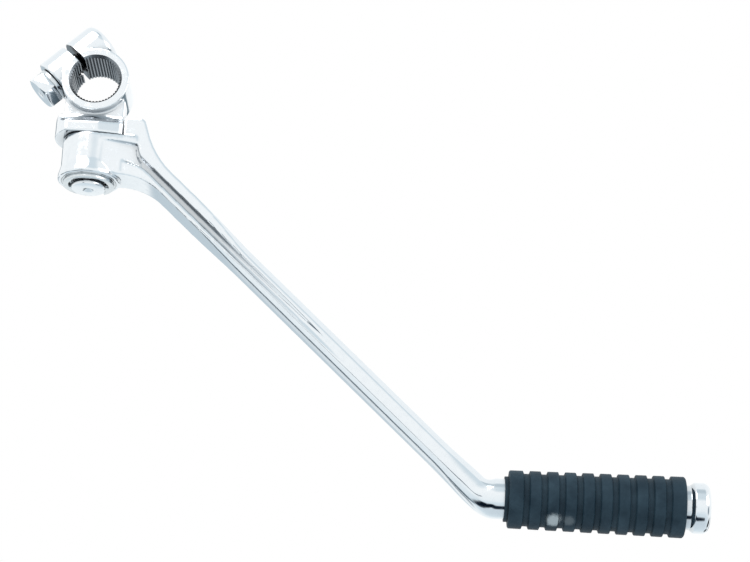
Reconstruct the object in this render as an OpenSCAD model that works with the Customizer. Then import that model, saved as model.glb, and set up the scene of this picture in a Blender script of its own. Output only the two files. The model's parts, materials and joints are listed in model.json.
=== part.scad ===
// Folding kick start lever: a knuckle that clamps on a splined shaft,
// and a forged arm that folds about a pivot standing down from the knuckle.
// The bore runs along Y, the pivot along Z, and the pedal points along +X.

/* [Splined clamp] */
// Bore diameter across the tips of the serrations
tip_d = 19; // [17:0.5:20]
// Depth of one serration
tooth_depth = 0.65; // [0.4:0.05:0.8]
// Number of serrations round the bore
teeth = 48; // [36:1:60]
// Chamfer at both mouths of the bore
mouth = 1.1; // [0.8:0.1:1.4]
// Outer diameter of the boss round the bore
boss_d = 27; // [25:0.5:30]
// Width of the boss along the bore
boss_w = 20; // [18:0.5:24]
// Width of the slot that lets the boss close
slot_w = 2.2; // [1.6:0.1:3]
// Direction of the slot, anticlockwise from the pedal side
slot_deg = 135; // [125:1:145]
// Offset of the slot from the bore's centre, towards the threaded ear
slot_off = 1.3; // [0:0.1:2]
// Diameter of the two ears round the pinch bolt
ear_d = 18.6; // [17:0.2:20]
// Length of the ear under the bolt head
ear_head = 11.2; // [9:0.2:13]
// Length of the threaded ear
ear_thread = 15.8; // [12:0.2:17]
// Radius round the end of the threaded ear
ear_round = 3; // [1:0.2:4]

/* [Pinch bolt] */
// Thread diameter
bolt_d = 8; // [6:0.5:8]
// Length under the head
bolt_len = 24; // [18:1:28]
// Width across the flats of the head
head_af = 13; // [12:0.5:14]
// Height of the head
head_h = 5.3; // [4:0.1:6]
// Outer diameter of the split lock washer
lock_d = 13.8; // [12.8:0.2:15]
// Thickness of the split lock washer
lock_t = 2; // [1.4:0.1:2.6]

/* [Knuckle] */
// Drop from the bore centre to the hinge face
joint_drop = 23.5; // [22.5:0.5:26]
// Height of the base above the hinge face
base_h = 9; // [8:0.5:9.5]
// Diameter of the round end of the base
base_d = 30.2; // [28:0.2:32]
// Distance from the pivot to the front of the base
base_front = 11.3; // [10.5:0.1:12.4]
// Thickness of the neck along the bore
neck_t = 13.4; // [11:0.2:17]
// Half width of the neck on the side away from the pedal
neck_left = 11.4; // [10:0.2:12.4]
// Distance from the pivot to the two stop faces
stop_r = 12.5; // [12:0.1:13.5]

/* [Pivot and retainer] */
// Diameter of the pivot
pivot_d = 13.5; // [12:0.5:14]
// Depth of the groove for the retaining clip
groove_depth = 1; // [0.6:0.1:1.4]
// Length of pivot below the clip
pivot_tail = 1.6; // [1:0.2:3]
// Thickness of the washer
washer_t = 1.2; // [0.8:0.1:1.6]
// Outer diameter of the washer
washer_d = 21.6; // [19:0.2:22]
// Thickness of the retaining clip
clip_t = 1.3; // [1:0.1:1.6]
// Outer diameter of the retaining clip
clip_d = 20.4; // [18:0.2:22]
// Diameter of the clip's two dark windows
clip_window_d = 16; // [15:0.2:17]
// Diameter of the detent ball
ball_d = 5; // [4:0.5:5.5]
// How far the ball stands below the hinge face
ball_out = 0.9; // [0.5:0.1:1.2]
// Distance of the ball from the pivot axis
ball_r = 9.2; // [9:0.1:9.4]
// Wire diameter of the detent spring
wire_d = 0.6; // [0.4:0.1:0.8]

/* [Arm] */
// Length of the barrel along the pivot
barrel_len = 17.4; // [16:0.2:20]
// Outer diameter of the barrel
barrel_d = 23.4; // [22.4:0.2:25]
// Diameter of the flared rim at the bottom of the barrel
rim_d = 24.8; // [23.6:0.2:26]
// Height of the flare above the bottom of the barrel, halfway out
rim_h = 2.6; // [2:0.2:4]
// Slope of the arm below the level
arm_deg = 43; // [38:1:48]
// Width of the bar across its slope
bar_w = 9; // [8:0.2:10]
// Thickness of the bar along the bore's direction
bar_t = 12.5; // [11:0.5:14]
// Thickness of the root and the stop lug along the bore's direction
root_t = 15; // [14:0.5:17]
// Height of the stop lug above the hinge face
lug_h = 8.1; // [6:0.1:8.5]
// Width of the stop lug at its top
lug_w = 8.2; // [7:0.2:9]
// Radius of the elbow's centre line
elbow_r = 12; // [9:1:16]
// Thickness of the web between the two grooves
web_t = 9; // [6:0.5:11]
// Distance down the bar at which the grooves run out
groove_end = 96; // [60:2:120]

/* [Pedal] */
// Diameter of the peg where it leaves the elbow
peg_d = 15.4; // [14:0.2:17]
// Diameter of the peg under its head
peg_end_d = 16.8; // [16:0.2:18]
// Distance from the pivot to the end of the head
reach = 245.3; // [230:1:300]
// Thickness of the head
head_t = 6.6; // [5:0.2:8]
// Diameter of the head
head_d = 19.2; // [18.4:0.2:21]
// Length of the rubber sleeve
grip_len = 66.4; // [60:0.2:67]
// Distance from the elbow's corner to the sleeve
elbow_gap = 9.4; // [8:0.2:20]
// Bare length of peg between the sleeve and the head
bare = 2.9; // [1:0.1:4]
// Number of ribs on the sleeve
ribs = 10; // [6:1:12]
// Wall of the sleeve over a rib
grip_wall = 3.2; // [2.6:0.1:4]
// Depth of the grooves between the ribs
rib_depth = 1.1; // [0.6:0.1:1.6]
// Width of the grooves between the ribs
rib_gap = 2.6; // [1.8:0.1:3.2]

/* [Clearances] */
// Running clearance of the pivot in its barrel, on the radius
run_clear = 0.05; // [0.02:0.01:0.1]
// Clearance between faces that turn on each other
face_clear = 0.1; // [0.05:0.05:0.2]
// Clearance of the lug from the stops at each end of its swing
stop_clear = 0.3; // [0.2:0.1:0.5]
// Clearance round pieces that are dropped into a hole
drop_clear = 0.1; // [0.05:0.05:0.2]

/* [Hidden] */
$fn = 72;

tip_r = tip_d / 2;
root_r = tip_r + tooth_depth;
land = 0.45;                                    // share of the pitch left at a serration's tip
rim_cut = 0.8;                                  // chamfer on turned rims
bolt_off = tip_r + bolt_d / 2 + 0.15;           // the bolt just clears the shaft in the bore
hole_clear = 0.5;                               // clearance of the bolt up to its thread
spot_r = lock_d / 2 + 0.3;                      // radius of the flat cut for the lock washer
front_round = 1.8;                              // radius of the knuckle's upright edge beside the lug
base_top = base_h - joint_drop;
base_r = base_d / 2;
neck_r = 4.4;                                   // radius of the hollow under the boss
front_end = 1.7;                                // the base's front falls back by this much at the stop
joint_z = -joint_drop;
barrel_top = joint_z - face_clear;
barrel_end = barrel_top - barrel_len;
barrel_r = barrel_d / 2;
washer_top = barrel_end + washer_t - face_clear;
clip_top = washer_top - washer_t - face_clear / 2;
groove_h = clip_t + face_clear;
pivot_end = clip_top - groove_h - pivot_tail;
pivot_r = pivot_d / 2;
ball_z = joint_z - ball_out + ball_d / 2;
ball_deg = 180;                                 // the ball sits under the neck, opposite the stop lug
ball_roof = joint_z + base_h - 1.6;
fold = 90;                                      // swing of the arm between its stops

lug_x = stop_r + stop_clear;
lug_top = joint_z + lug_h;
lug_lean = 18;                                  // lean of the lug's outer side
slope = [cos(arm_deg), -sin(arm_deg)];          // direction of the bar in the front view
rise = [sin(arm_deg), cos(arm_deg)];            // direction across the bar
root_x = 44.4;                                  // the root runs this far from the pivot, then the bar
root_z = -54.5;                                 // height of the bar's middle line there
grip_end = reach - head_t - bare;
grip_start = grip_end - grip_len;
elbow_x = grip_start - elbow_gap;
peg_z = root_z - (elbow_x - root_x) * tan(arm_deg);
elbow = [elbow_x, peg_z];
elbow_tan = elbow_r * tan(arm_deg / 2);         // where the elbow's curve leaves the straight bar
root_len = (elbow_x - root_x) / cos(arm_deg);   // length of the bar from there to the elbow
root_end = root_len - 1.3;                      // the root's outline ends between two sections of the bar
root_low = barrel_end + 1.4;                    // underside of the root beside the barrel
wall_top = lug_x + 6.1;                         // the hollow's outer end below the upper flange
wall_mid = wall_top + 1.1;                      // the same where its upper side meets the sweep
hollow_low = root_low + 6.2;                    // lowest level of the hollow beside the barrel
flange = 2.7;                                   // thickness of the root's upper flange
scoop_start = 5;                                // the hollow's floor leaves the barrel this far from the pivot
scoop_end = 21;                                 // and meets the web here
bar_top = 2.4;                                  // height of the chamfers along the bar's upper edges
bar_low = 1.9;                                  // height of the chamfers along its lower edges
side_top = 2.6;                                 // depth of the upper chamfers along the bore's direction
side_low = 1.6;                                 // depth of the lower chamfers
seat = 0.1;                                     // the bar's skin lies this far inside the root at their joint
lane_top = 0.5;                                 // upper side of the bar's grooves, from its middle
lane_low = -2.4;                                // lower side of the bar's grooves, from its middle
root_edge = 0.12;                               // share of the chamfers left at the root
fade = 29;                                      // the bar takes its own section over this length
rounding = 0.3;                                 // share of the round form where the elbow begins
round_len = 20;                                 // that share is reached over this length
bar_steps = 20;
elbow_steps = 8;
lead = 0.015;                                   // share of the bar's length that reaches into the root
lug_tip = 2.2;                                  // radius of the lug's outer corner
shoulder_r = 38;                                // radius from the lug into the bar's upper side
heel_r = 25;                                    // radius from the barrel into the bar's lower side
wing = 2.1;                                     // the upper flange stands this far proud of the root
peg_start = elbow_x + elbow_tan;
head_low = 1.2;                                 // radius of the head's rim on the sleeve's side
head_high = 2.6;                                // radius of its outer rim
end_rib = 5.3;                                  // width of the first and the last rib
lip = 1.5;                                      // length of the sleeve's thin lip
lip_t = 0.7;                                    // thickness of the lip at its end
foot_t = 1;                                     // its thickness where the first rib starts
rib_edge = 0.5;                                 // rounding of a rib's edges

function unit(v) = v / norm(v);
function mix(a, b, t) = a + (b - a) * t;
function ease(t) = let (u = min(max(t, 0), 1)) u * u * (3 - 2 * u);

// Outline with each corner [x, y, r] rounded to the radius r
function rounded(c, n = 8) = [for (i = [0 : len(c) - 1])
    let (p = [c[i].x, c[i].y], r = c[i][2],
         a = c[(i + len(c) - 1) % len(c)], b = c[(i + 1) % len(c)],
         u = unit([a.x, a.y] - p), v = unit([b.x, b.y] - p), half = acos(u * v) / 2)
    each r <= 0 ? [p] :
        let (o = p + unit(u + v) * r / sin(half),
             s = p + u * r / tan(half) - o, e = p + v * r / tan(half) - o,
             from = atan2(s.y, s.x), turn = (atan2(e.y, e.x) - from + 540) % 360 - 180)
        [for (k = [0 : n]) o + r * [cos(from + turn * k / n), sin(from + turn * k / n)]]];

// Point of the front view, a distance d before the elbow and up above the bar's middle line
function bar_point(d, up) = elbow - slope * d + rise * up;

// Where the line through p along v meets the line through q along the bar
function meet(p, v, q) = p + v * ((q - p) * rise) / (v * rise);

module along_bore() rotate([90, 0, 0]) children();
module from_front(t) rotate([90, 0, 0]) linear_extrude(t, center = true) children();
module from_side(x0, x1) translate([x0, 0, 0]) rotate([90, 0, 90]) linear_extrude(x1 - x0) children();
module at_bolt() translate(bolt_off * [cos(slot_deg), 0, sin(slot_deg)])
    rotate([0, 180 - slot_deg, 0]) children();
module at_ball() rotate(ball_deg) translate([ball_r, 0, 0]) children();

// Disc or boss with a chamfer c on both rims, from z0 to z1
module turned(r, z0, z1, c) rotate_extrude()
    polygon([[0, z0], [r - c, z0], [r, z0 + c], [r, z1 - c], [r - c, z1], [0, z1]]);

// Plan of the base: a round end, straight front and back, and a stop face at each limit of the swing
module base_plan() {
    intersection() {
        circle(base_r, $fn = 96);
        translate([-base_r, -base_front]) square([base_r, base_front + stop_r]);
    }
    intersection() {
        circle(stop_r, $fn = 96);
        square(stop_r);
    }
    // The front falls back towards the stop face
    polygon(rounded([[0, 0, 0], [0, -base_front, 0], [stop_r / 4, -base_front, 0],
                     [stop_r, front_end - base_front, front_round], [stop_r, 0, 0]]));
}

// Side view of the base and neck, hollowed out in front and behind below the boss
module neck_side() polygon(concat(
    [[-base_front, joint_z], [stop_r, joint_z]],
    [for (a = [-90 : 10 : 0]) [neck_t / 2 + neck_r * (1 - cos(a)) + (stop_r - neck_t / 2 - neck_r) * -sin(a),
                               base_top + neck_r * sin(a)]],
    [[neck_t / 2, 0], [-neck_t / 2, 0]],
    [for (a = [0 : -10 : -90]) [-neck_t / 2 - neck_r * (1 - cos(a)) - (base_front - neck_t / 2 - neck_r) * -sin(a),
                                base_top + neck_r * sin(a)]]));

// Front view of the base and neck
module neck_front() polygon(rounded([
    [-base_r, joint_z, 1], [stop_r, joint_z, 0], [stop_r, -joint_drop / 3, 0], [0, 0, 0],
    [-neck_left, -joint_drop / 4, 0], [-neck_left, base_top, 1], [-base_r, base_top, 3]]));

// Serrated bore, open at both faces of the boss
module splined_bore() along_bore() {
    pitch = 360 / teeth;
    gap = tip_r * sin(pitch * (1 - land) / 2);
    linear_extrude(boss_w + 2, center = true) {
        circle(tip_r, $fn = 144);
        for (i = [0 : teeth - 1]) rotate((i + 0.5) * pitch)
            polygon([[tip_r - 0.3, -gap], [tip_r - 0.02, -gap], [root_r, -gap / 6], [root_r, gap / 6],
                     [tip_r - 0.02, gap], [tip_r - 0.3, gap]]);
    }
    for (s = [-1, 1]) scale([1, 1, s]) translate([0, 0, boss_w / 2 - mouth])
        cylinder(mouth + 0.01, tip_r, tip_r + mouth + 0.01, $fn = 144);
}

// Turned pivot with the groove for the retaining clip
module pivot() rotate_extrude()
    polygon([[0, base_top - 1], [pivot_r, base_top - 1], [pivot_r, clip_top],
             [pivot_r - groove_depth, clip_top], [pivot_r - groove_depth, clip_top - groove_h],
             [pivot_r, clip_top - groove_h], [pivot_r, pivot_end + 0.7], [pivot_r - 0.7, pivot_end],
             [0, pivot_end]]);

module knuckle() color("gainsboro") difference() {
    union() {
        along_bore() turned(boss_d / 2, -boss_w / 2, boss_w / 2, rim_cut);
        at_bolt() rotate_extrude() polygon(rounded([
            [0, -ear_head, 0], [ear_d / 2, -ear_head, rim_cut], [ear_d / 2, ear_thread, ear_round],
            [0, ear_thread, 0]]));
        intersection() {
            translate([0, 0, joint_z]) linear_extrude(joint_drop) base_plan();
            from_side(-base_r, stop_r) neck_side();
            from_front(2 * base_r) neck_front();
        }
        pivot();
    }
    splined_bore();
    at_bolt() {
        translate([-ear_d / 2 - 1, -boss_w, slot_off - slot_w / 2])
            cube([ear_d / 2 + 1 + bolt_off, 2 * boss_w, slot_w]);
        translate([0, 0, -ear_head - 1]) cylinder(ear_head + 1 + slot_off + slot_w, r = bolt_d / 2 + hole_clear);
        cylinder(ear_thread + 1, r = bolt_d / 2 + drop_clear);
        translate([0, 0, -ear_head - lock_t]) cylinder(lock_t, r = spot_r);
    }
    at_ball() translate([0, 0, joint_z - 1]) cylinder(ball_roof - joint_z + 1, r = ball_d / 2 + drop_clear);
}

// Hexagon head bolt: the head is a hexagon with its outer corners turned off
module pinch_bolt() color("silver") at_bolt() translate([0, 0, -ear_head - lock_t]) {
    corner = head_af / 2 / cos(30);
    translate([0, 0, -head_h]) intersection() {
        cylinder(head_h, r = corner, $fn = 6);
        cylinder(head_h, head_af / 2 - 0.2, head_af / 2 - 0.2 + 1.8 * head_h);
    }
    cylinder(bolt_len - 1, r = bolt_d / 2);
    translate([0, 0, bolt_len - 1]) cylinder(1, bolt_d / 2, bolt_d / 2 - 0.9);
}

// Spring lock washer with its slanting cut
module lock_washer() color("dimgray") at_bolt() translate([0, 0, -ear_head - lock_t]) difference() {
    cylinder(lock_t, r = lock_d / 2);
    translate([0, 0, -1]) cylinder(lock_t + 2, r = bolt_d / 2 + drop_clear);
    rotate(200) translate([0, -0.3, lock_t / 2]) rotate([35, 0, 0])
        translate([bolt_d / 4, -0.3, -2 * lock_t]) cube([lock_d, 0.6, 4 * lock_t]);
}

module pivot_washer() color("silver") translate([0, 0, washer_top - washer_t]) difference() {
    cylinder(washer_t, r = washer_d / 2);
    translate([0, 0, -1]) cylinder(washer_t + 2, r = pivot_r + drop_clear);
}

// Stamped clip: a ring open at the back, with three prongs that reach into the groove
module retaining_clip() color("silver") translate([0, 0, clip_top - clip_t]) linear_extrude(clip_t)
    difference() {
        union() {
            difference() {
                circle(clip_d / 2);
                circle(clip_window_d / 2);
            }
            intersection() {
                circle(clip_d / 2 - 0.5);
                for (a = [-90, 25, 155]) rotate(a) translate([0, -1.6]) square([clip_d / 2, 3.2]);
            }
        }
        circle(pivot_r - groove_depth + drop_clear / 2);
        translate([-pivot_r * 0.8, 0]) square([pivot_r * 1.6, clip_d]);
    }

module detent_ball() color("lightsteelblue") at_ball() translate([0, 0, ball_z]) sphere(ball_d / 2);

// Compression spring between the ball and the roof of its hole
module detent_spring() color("slategray") at_ball() {
    coil = 0.38 * ball_d;
    sides = 8;
    turns = 3.5;
    steps = 16 * turns;
    low = ball_z + sqrt(pow((ball_d + wire_d) / 2 + 0.03, 2) - coil * coil);
    high = ball_roof - wire_d / 2 - 0.03;
    ring = [for (k = [0 : sides - 1]) wire_d / 2 * [cos(k * 360 / sides), sin(k * 360 / sides)]];
    pts = [for (i = [0 : steps], p = ring) let (a = 360 * turns * i / steps, r = coil + p.x)
        [r * cos(a), r * sin(a), mix(low, high, i / steps) + p.y]];
    sleeve = [for (i = [0 : steps - 1], k = [0 : sides - 1]) let (b = i * sides, j = (k + 1) % sides)
        [b + k, b + j, b + sides + j, b + sides + k]];
    caps = [[for (k = [sides - 1 : -1 : 0]) k], [for (k = [0 : sides - 1]) steps * sides + k]];
    polyhedron(pts, concat(sleeve, caps));
}

// Barrel with a flared rim, turning on the pivot; the washer sits in a recess at its lower end
module barrel() rotate_extrude(convexity = 4)
    polygon([[0, barrel_top], [barrel_r - 0.6, barrel_top], [barrel_r, barrel_top - 0.6],
             [barrel_r - 0.15, barrel_end + 2 * rim_h], [rim_d / 2, barrel_end + 0.7 * rim_h],
             [rim_d / 2, barrel_end + 0.5], [rim_d / 2 - 0.5, barrel_end], [0, barrel_end]]);

// Front view of the root: stop lug, shoulder and sweep down to the bar
root_outline = rounded([
    [0, barrel_top, 0], [lug_x, barrel_top, 0], [lug_x, lug_top, rim_cut], [lug_x + lug_w, lug_top, lug_tip],
    concat(meet([lug_x + lug_w, lug_top], [sin(lug_lean), -cos(lug_lean)], bar_point(0, bar_w / 2)), shoulder_r),
    concat(bar_point(root_end, bar_w / 2), 0), concat(bar_point(root_end, -bar_w / 2), 0),
    concat(meet([0, root_low], [1, 0], bar_point(0, -bar_w / 2)), heel_r), [0, root_low, 0]]);

// Front view of the hollow between the root's flanges, which runs out into the groove of the bar
hollow_outline = rounded([
    [0, barrel_top - flange, 0], [wall_top, barrel_top - flange, 1],
    concat(meet([wall_mid, 0], [0, 1], bar_point(0, lane_top)), 6),
    concat(bar_point(root_end - 1, lane_top), 0), concat(bar_point(root_end - 1, lane_low), 0),
    concat(meet([wall_mid + 1.5, 0], [0, 1], bar_point(0, lane_low)), 12),
    [barrel_r + 0.5, hollow_low, 8], [0, hollow_low, 0]]);

module root() {
    difference() {
        from_front(root_t) polygon(root_outline);
        for (s = [-1, 1]) translate([0, s * (root_t + web_t) / 2, 0]) from_front(root_t) polygon(hollow_outline);
    }
    // The hollow's floor slopes from the barrel's side down to the web
    scoop = [[scoop_start, sqrt(barrel_r * barrel_r - scoop_start * scoop_start) - seat],
             [scoop_end, web_t / 2 - seat]];
    translate([0, 0, root_low + 2 * seat]) linear_extrude(barrel_top - flange / 2 - root_low - 2 * seat)
        polygon(concat([[0, 0]], scoop, [for (i = [1, 0]) [scoop[i].x, -scoop[i].y]]));
    // The upper flange widens towards the barrel
    wide = [[0, barrel_r - 2 * seat], [lug_x, root_t / 2 + wing], [wall_mid, root_t / 2 - 5 * seat]];
    translate([0, 0, barrel_top - flange]) linear_extrude(flange)
        polygon(concat(wide, [for (i = [len(wide) - 1 : -1 : 0]) [wide[i].x, -wide[i].y]]));
}

// Half of the bar's section, from its top edge down the front: [up, side].
// lean tilts the groove's walls and crowns the two edges.
function bar_side(t, edge, groove, lean) = let (half = bar_w / 2 - seat) [
    [half + lean / 2, 0], [half, t / 2 - side_top * edge], [half - bar_top * edge, t / 2],
    [lane_top + seat, t / 2], [lane_top + seat - lean, t / 2 - groove],
    [lane_low - seat + lean, t / 2 - groove], [lane_low - seat, t / 2],
    [-half + bar_low * edge, t / 2], [-half, t / 2 - side_low * edge], [-half - lean / 2, 0]];

// The same points carried round a circle, for the elbow
round_side = [for (a = [0, 32, 56, 76, 84, 96, 104, 128, 152, 180]) peg_d / 2 * [cos(a), sin(a)]];

// Whole section: its front half with a point between each two, then the back half in reverse
function whole(half) = let (n = len(half), fine = concat(
        [for (i = [0 : n - 2]) each [half[i], (half[i] + half[i + 1]) / 2]], [half[n - 1]]))
    concat([for (p = fine) [p.x, -p.y]], [for (i = [2 * n - 3 : -1 : 1]) fine[i]]);

// Section of the bar a distance d before the elbow; m carries it from the bar's form to the round peg
function bar_section(d, m) =
    let (gone = root_len - d,
         t = mix(root_t - 2 * seat, bar_t, ease(gone / fade)),
         edge = mix(root_edge, 1, ease(gone / fade)),
         groove = ((t - web_t) / 2 + seat) * (1 - ease(gone / groove_end)),
         flat = whole(bar_side(t, edge, groove, mix(seat / 2, 0.6, ease(gone / fade)))), disc = whole(round_side))
    [for (i = [0 : len(flat) - 1]) mix(flat[i], unit(disc[i]) * (peg_d / 2 - 0.05), m)];

// Stations of the bar: [centre, angle below the level, section]; both ends reach into their neighbours
bar_stations = concat(
    [for (i = [-1 : bar_steps]) let (k = i < 0 ? -lead : i / bar_steps, d = mix(root_len, elbow_tan, k))
        [elbow - slope * d, arm_deg, bar_section(d, rounding * ease(1 - (d - elbow_tan) / round_len))]],
    [for (i = [1 : elbow_steps]) let (a = arm_deg * (1 - i / elbow_steps))
        [elbow - slope * elbow_tan + elbow_r * (rise - [sin(a), cos(a)]), a,
         bar_section(0, mix(rounding, 1, ease(i / elbow_steps)))]],
    [[[peg_start + 1, peg_z], 0, bar_section(0, 1)]]);

module bar() {
    n = len(bar_stations[0][2]);
    last = len(bar_stations) - 1;
    pts = [for (s = bar_stations, q = s[2]) [s[0].x + q.x * sin(s[1]), q.y, s[0].y + q.x * cos(s[1])]];
    skin = [for (i = [0 : last - 1], k = [0 : n - 1]) let (b = i * n, j = (k + 1) % n)
        each [[b + k, b + n + j, b + j], [b + k, b + n + k, b + n + j]]];
    // Each end is closed in strips from the front half to the back half
    strips = concat([for (k = [0 : n / 2 - 2]) [k, k + 1, n - k - 1]],
                    [for (k = [1 : n / 2 - 1]) [k, n - k - 1, n - k]]);
    far_end = [for (t = strips) [for (k = [2 : -1 : 0]) t[k] + last * n]];
    polyhedron(pts, concat(skin, strips, far_end), convexity = 6);
}

// Radius of the peg at a distance x from the pivot
function peg_r(x) = mix(peg_d, peg_end_d, (x - peg_start) / (reach - head_t - peg_start)) / 2;

module along_peg() translate([0, 0, peg_z]) rotate([0, 90, 0]) children();

// Tapered peg with a mushroom head that keeps the sleeve on
module peg() along_peg() {
    translate([0, 0, peg_start]) cylinder(reach - head_t / 2 - peg_start, peg_d / 2, peg_r(reach - head_t / 2));
    rotate_extrude() polygon(rounded([[0, reach - head_t, 0], [head_d / 2, reach - head_t, head_low],
                                      [head_d / 2, reach, head_high], [0, reach, 0]]));
}

// Track of the detent ball in the barrel's top face, a little deeper at both ends of the swing
module ball_track() {
    rotate(ball_deg - fold) rotate_extrude(angle = fold) translate([ball_r, ball_z]) circle(ball_d / 2 + drop_clear);
    for (a = [0, fold]) rotate(-a) at_ball() translate([0, 0, ball_z - 0.1]) sphere(ball_d / 2 + drop_clear);
}

module kick_arm() color("gainsboro") difference() {
    union() {
        barrel();
        root();
        bar();
        peg();
    }
    translate([0, 0, barrel_end - 1]) cylinder(barrel_len + 2, r = pivot_r + run_clear);
    translate([0, 0, barrel_end - 1]) cylinder(washer_t + 1, r = washer_d / 2 + drop_clear);
    ball_track();
}

// Radius over the sleeve's ribs at a distance x from the pivot
function rib_r(x) = peg_r(x) + grip_wall;

// Outline of one rib from a to b: [radius, distance]
function rib_outline(a, b) = [
    [rib_r(a) - rib_depth, a], [rib_r(a) - rib_edge, a + rib_edge / 5], [rib_r(a), a + rib_edge],
    [rib_r(b), b - rib_edge], [rib_r(b) - rib_edge, b - rib_edge / 5], [rib_r(b) - rib_depth, b]];

// Ribbed sleeve stretched over the peg, with a thin lip at the elbow's end
module grip_rubber() color("#26292e") along_peg() {
    rib_w = (grip_len - 2 * end_rib - (ribs - 1) * rib_gap) / (ribs - 2);
    outer = [for (i = [0 : ribs - 1]) let (
            a = grip_start + (i == 0 ? 0 : end_rib + rib_gap + (i - 1) * (rib_w + rib_gap)),
            b = a + (i == 0 || i == ribs - 1 ? end_rib : rib_w))
        each rib_outline(a, b)];
    rotate_extrude(convexity = 8) polygon(concat(
        [[peg_r(grip_start) + lip_t, grip_start - lip], [peg_r(grip_start) + foot_t, grip_start]], outer,
        [[peg_r(grip_end) + drop_clear, grip_end], [peg_r(grip_start) + drop_clear, grip_start - lip]]));
}

knuckle();
kick_arm();
grip_rubber();
pinch_bolt();
lock_washer();
pivot_washer();
retaining_clip();
detent_ball();
detent_spring();
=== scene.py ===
"""Folding kick start lever: its forged, turned and moulded pieces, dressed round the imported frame.

Sizes are millimetres in the classes and become metres when a mesh is made.
"""

from __future__ import annotations

import json
import logging
import math
from contextlib import contextmanager
from dataclasses import dataclass
from enum import Enum
from typing import Callable, Iterator, Sequence

import bmesh
import bpy
from bmesh.types import BMesh
from bpy.types import ID, Material, Mesh, Node, NodeSocket, NodeTree, Object
from mathutils import Matrix, Vector

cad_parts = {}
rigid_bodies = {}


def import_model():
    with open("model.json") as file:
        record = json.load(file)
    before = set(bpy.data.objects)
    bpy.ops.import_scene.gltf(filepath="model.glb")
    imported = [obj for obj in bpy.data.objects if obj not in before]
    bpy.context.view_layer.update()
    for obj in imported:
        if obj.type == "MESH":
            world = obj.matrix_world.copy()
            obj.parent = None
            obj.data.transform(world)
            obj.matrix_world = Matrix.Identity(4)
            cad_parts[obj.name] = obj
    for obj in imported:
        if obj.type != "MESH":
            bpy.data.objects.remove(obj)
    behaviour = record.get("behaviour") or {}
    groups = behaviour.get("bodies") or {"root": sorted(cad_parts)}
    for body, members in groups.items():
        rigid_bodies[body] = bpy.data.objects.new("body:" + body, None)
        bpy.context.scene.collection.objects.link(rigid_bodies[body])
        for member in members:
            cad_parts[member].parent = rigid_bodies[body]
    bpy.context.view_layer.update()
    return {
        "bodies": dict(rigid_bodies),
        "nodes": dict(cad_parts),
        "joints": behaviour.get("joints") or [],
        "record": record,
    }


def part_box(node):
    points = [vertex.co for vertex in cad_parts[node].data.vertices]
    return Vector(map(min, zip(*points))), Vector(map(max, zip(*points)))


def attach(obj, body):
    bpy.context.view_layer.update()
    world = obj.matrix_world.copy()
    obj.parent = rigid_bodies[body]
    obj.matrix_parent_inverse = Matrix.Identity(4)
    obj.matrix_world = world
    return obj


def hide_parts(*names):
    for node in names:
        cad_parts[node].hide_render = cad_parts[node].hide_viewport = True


MM = 0.001
LOG = logging.getLogger("kick_lever")

# Turned shapes keep a fine hole of this radius at their axis, so that every face stays a quad.
AXIS = 0.01
# Edges that turn by more than this are shaded sharp.
SHARP_DEG = 32.0
NODE_COLUMNS = 12
NODE_STEP = (190, -260)

MATH = "ShaderNodeMath"
VECTOR_MATH = "ShaderNodeVectorMath"
MAP_RANGE = "ShaderNodeMapRange"
MIX = "ShaderNodeMix"
NOISE = "ShaderNodeTexNoise"
BUMP = "ShaderNodeBump"
PRINCIPLED = "ShaderNodeBsdfPrincipled"

Point2 = tuple[float, float]
Corner = Sequence[float]
Ring = list[Vector]


class Body(Enum):
    """The two rigid bodies of the lever."""

    HUB = "hub"
    ARM = "arm"


class Op(Enum):
    """What a boolean does with its tool."""

    JOIN = "UNION"
    CUT = "DIFFERENCE"
    KEEP = "INTERSECT"


def linear(hex_colour: str) -> tuple[float, float, float, float]:
    """Turns an sRGB hex colour into linear light.

    Args:
        hex_colour: Six hex digits.

    Returns:
        Linear red, green and blue, and an alpha of 1.
    """
    parts = [int(hex_colour[i : i + 2], 16) / 255 for i in (0, 2, 4)]
    toe, knee = 0.04045, 12.92
    red, green, blue = (c / knee if c <= toe else ((c + 0.055) / 1.055) ** 2.4 for c in parts)
    return red, green, blue, 1.0


def add(
    tree: NodeTree,
    kind: str,
    inputs: dict[int | str, object] | Sequence[object] = (),
    **settings: object,
) -> Node:
    """Adds a node to a tree, with its settings, values and links.

    Args:
        tree: The tree that gets the node.
        kind: The node's type name.
        inputs: A value, an output socket or a node for each input, by name or in order. A node
            stands for its first output.
        **settings: Properties of the node itself.

    Returns:
        The new node.
    """
    made = tree.nodes.new(kind)
    row, column = divmod(len(tree.nodes), NODE_COLUMNS)
    made.location = (NODE_STEP[0] * column, NODE_STEP[1] * row)
    for name, value in settings.items():
        setattr(made, name, value)
    for key, value in inputs.items() if isinstance(inputs, dict) else enumerate(inputs):
        if isinstance(value, Node):
            value = next(socket for socket in value.outputs if socket.enabled)
        if isinstance(value, NodeSocket):
            tree.links.new(value, made.inputs[key])
        else:
            made.inputs[key].default_value = value
    return made


def new_material(name: str) -> tuple[Material, NodeTree]:
    """Makes an empty node material.

    Args:
        name: The material's name.

    Returns:
        The material and its tree.
    """
    material = bpy.data.materials.new(name)
    material.use_nodes = True
    material.node_tree.nodes.clear()
    return material, material.node_tree


def finish_surface(tree: NodeTree, shader: Node) -> None:
    """Links a shader to the material's output."""
    add(tree, "ShaderNodeOutputMaterial", {"Surface": shader})


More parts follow.
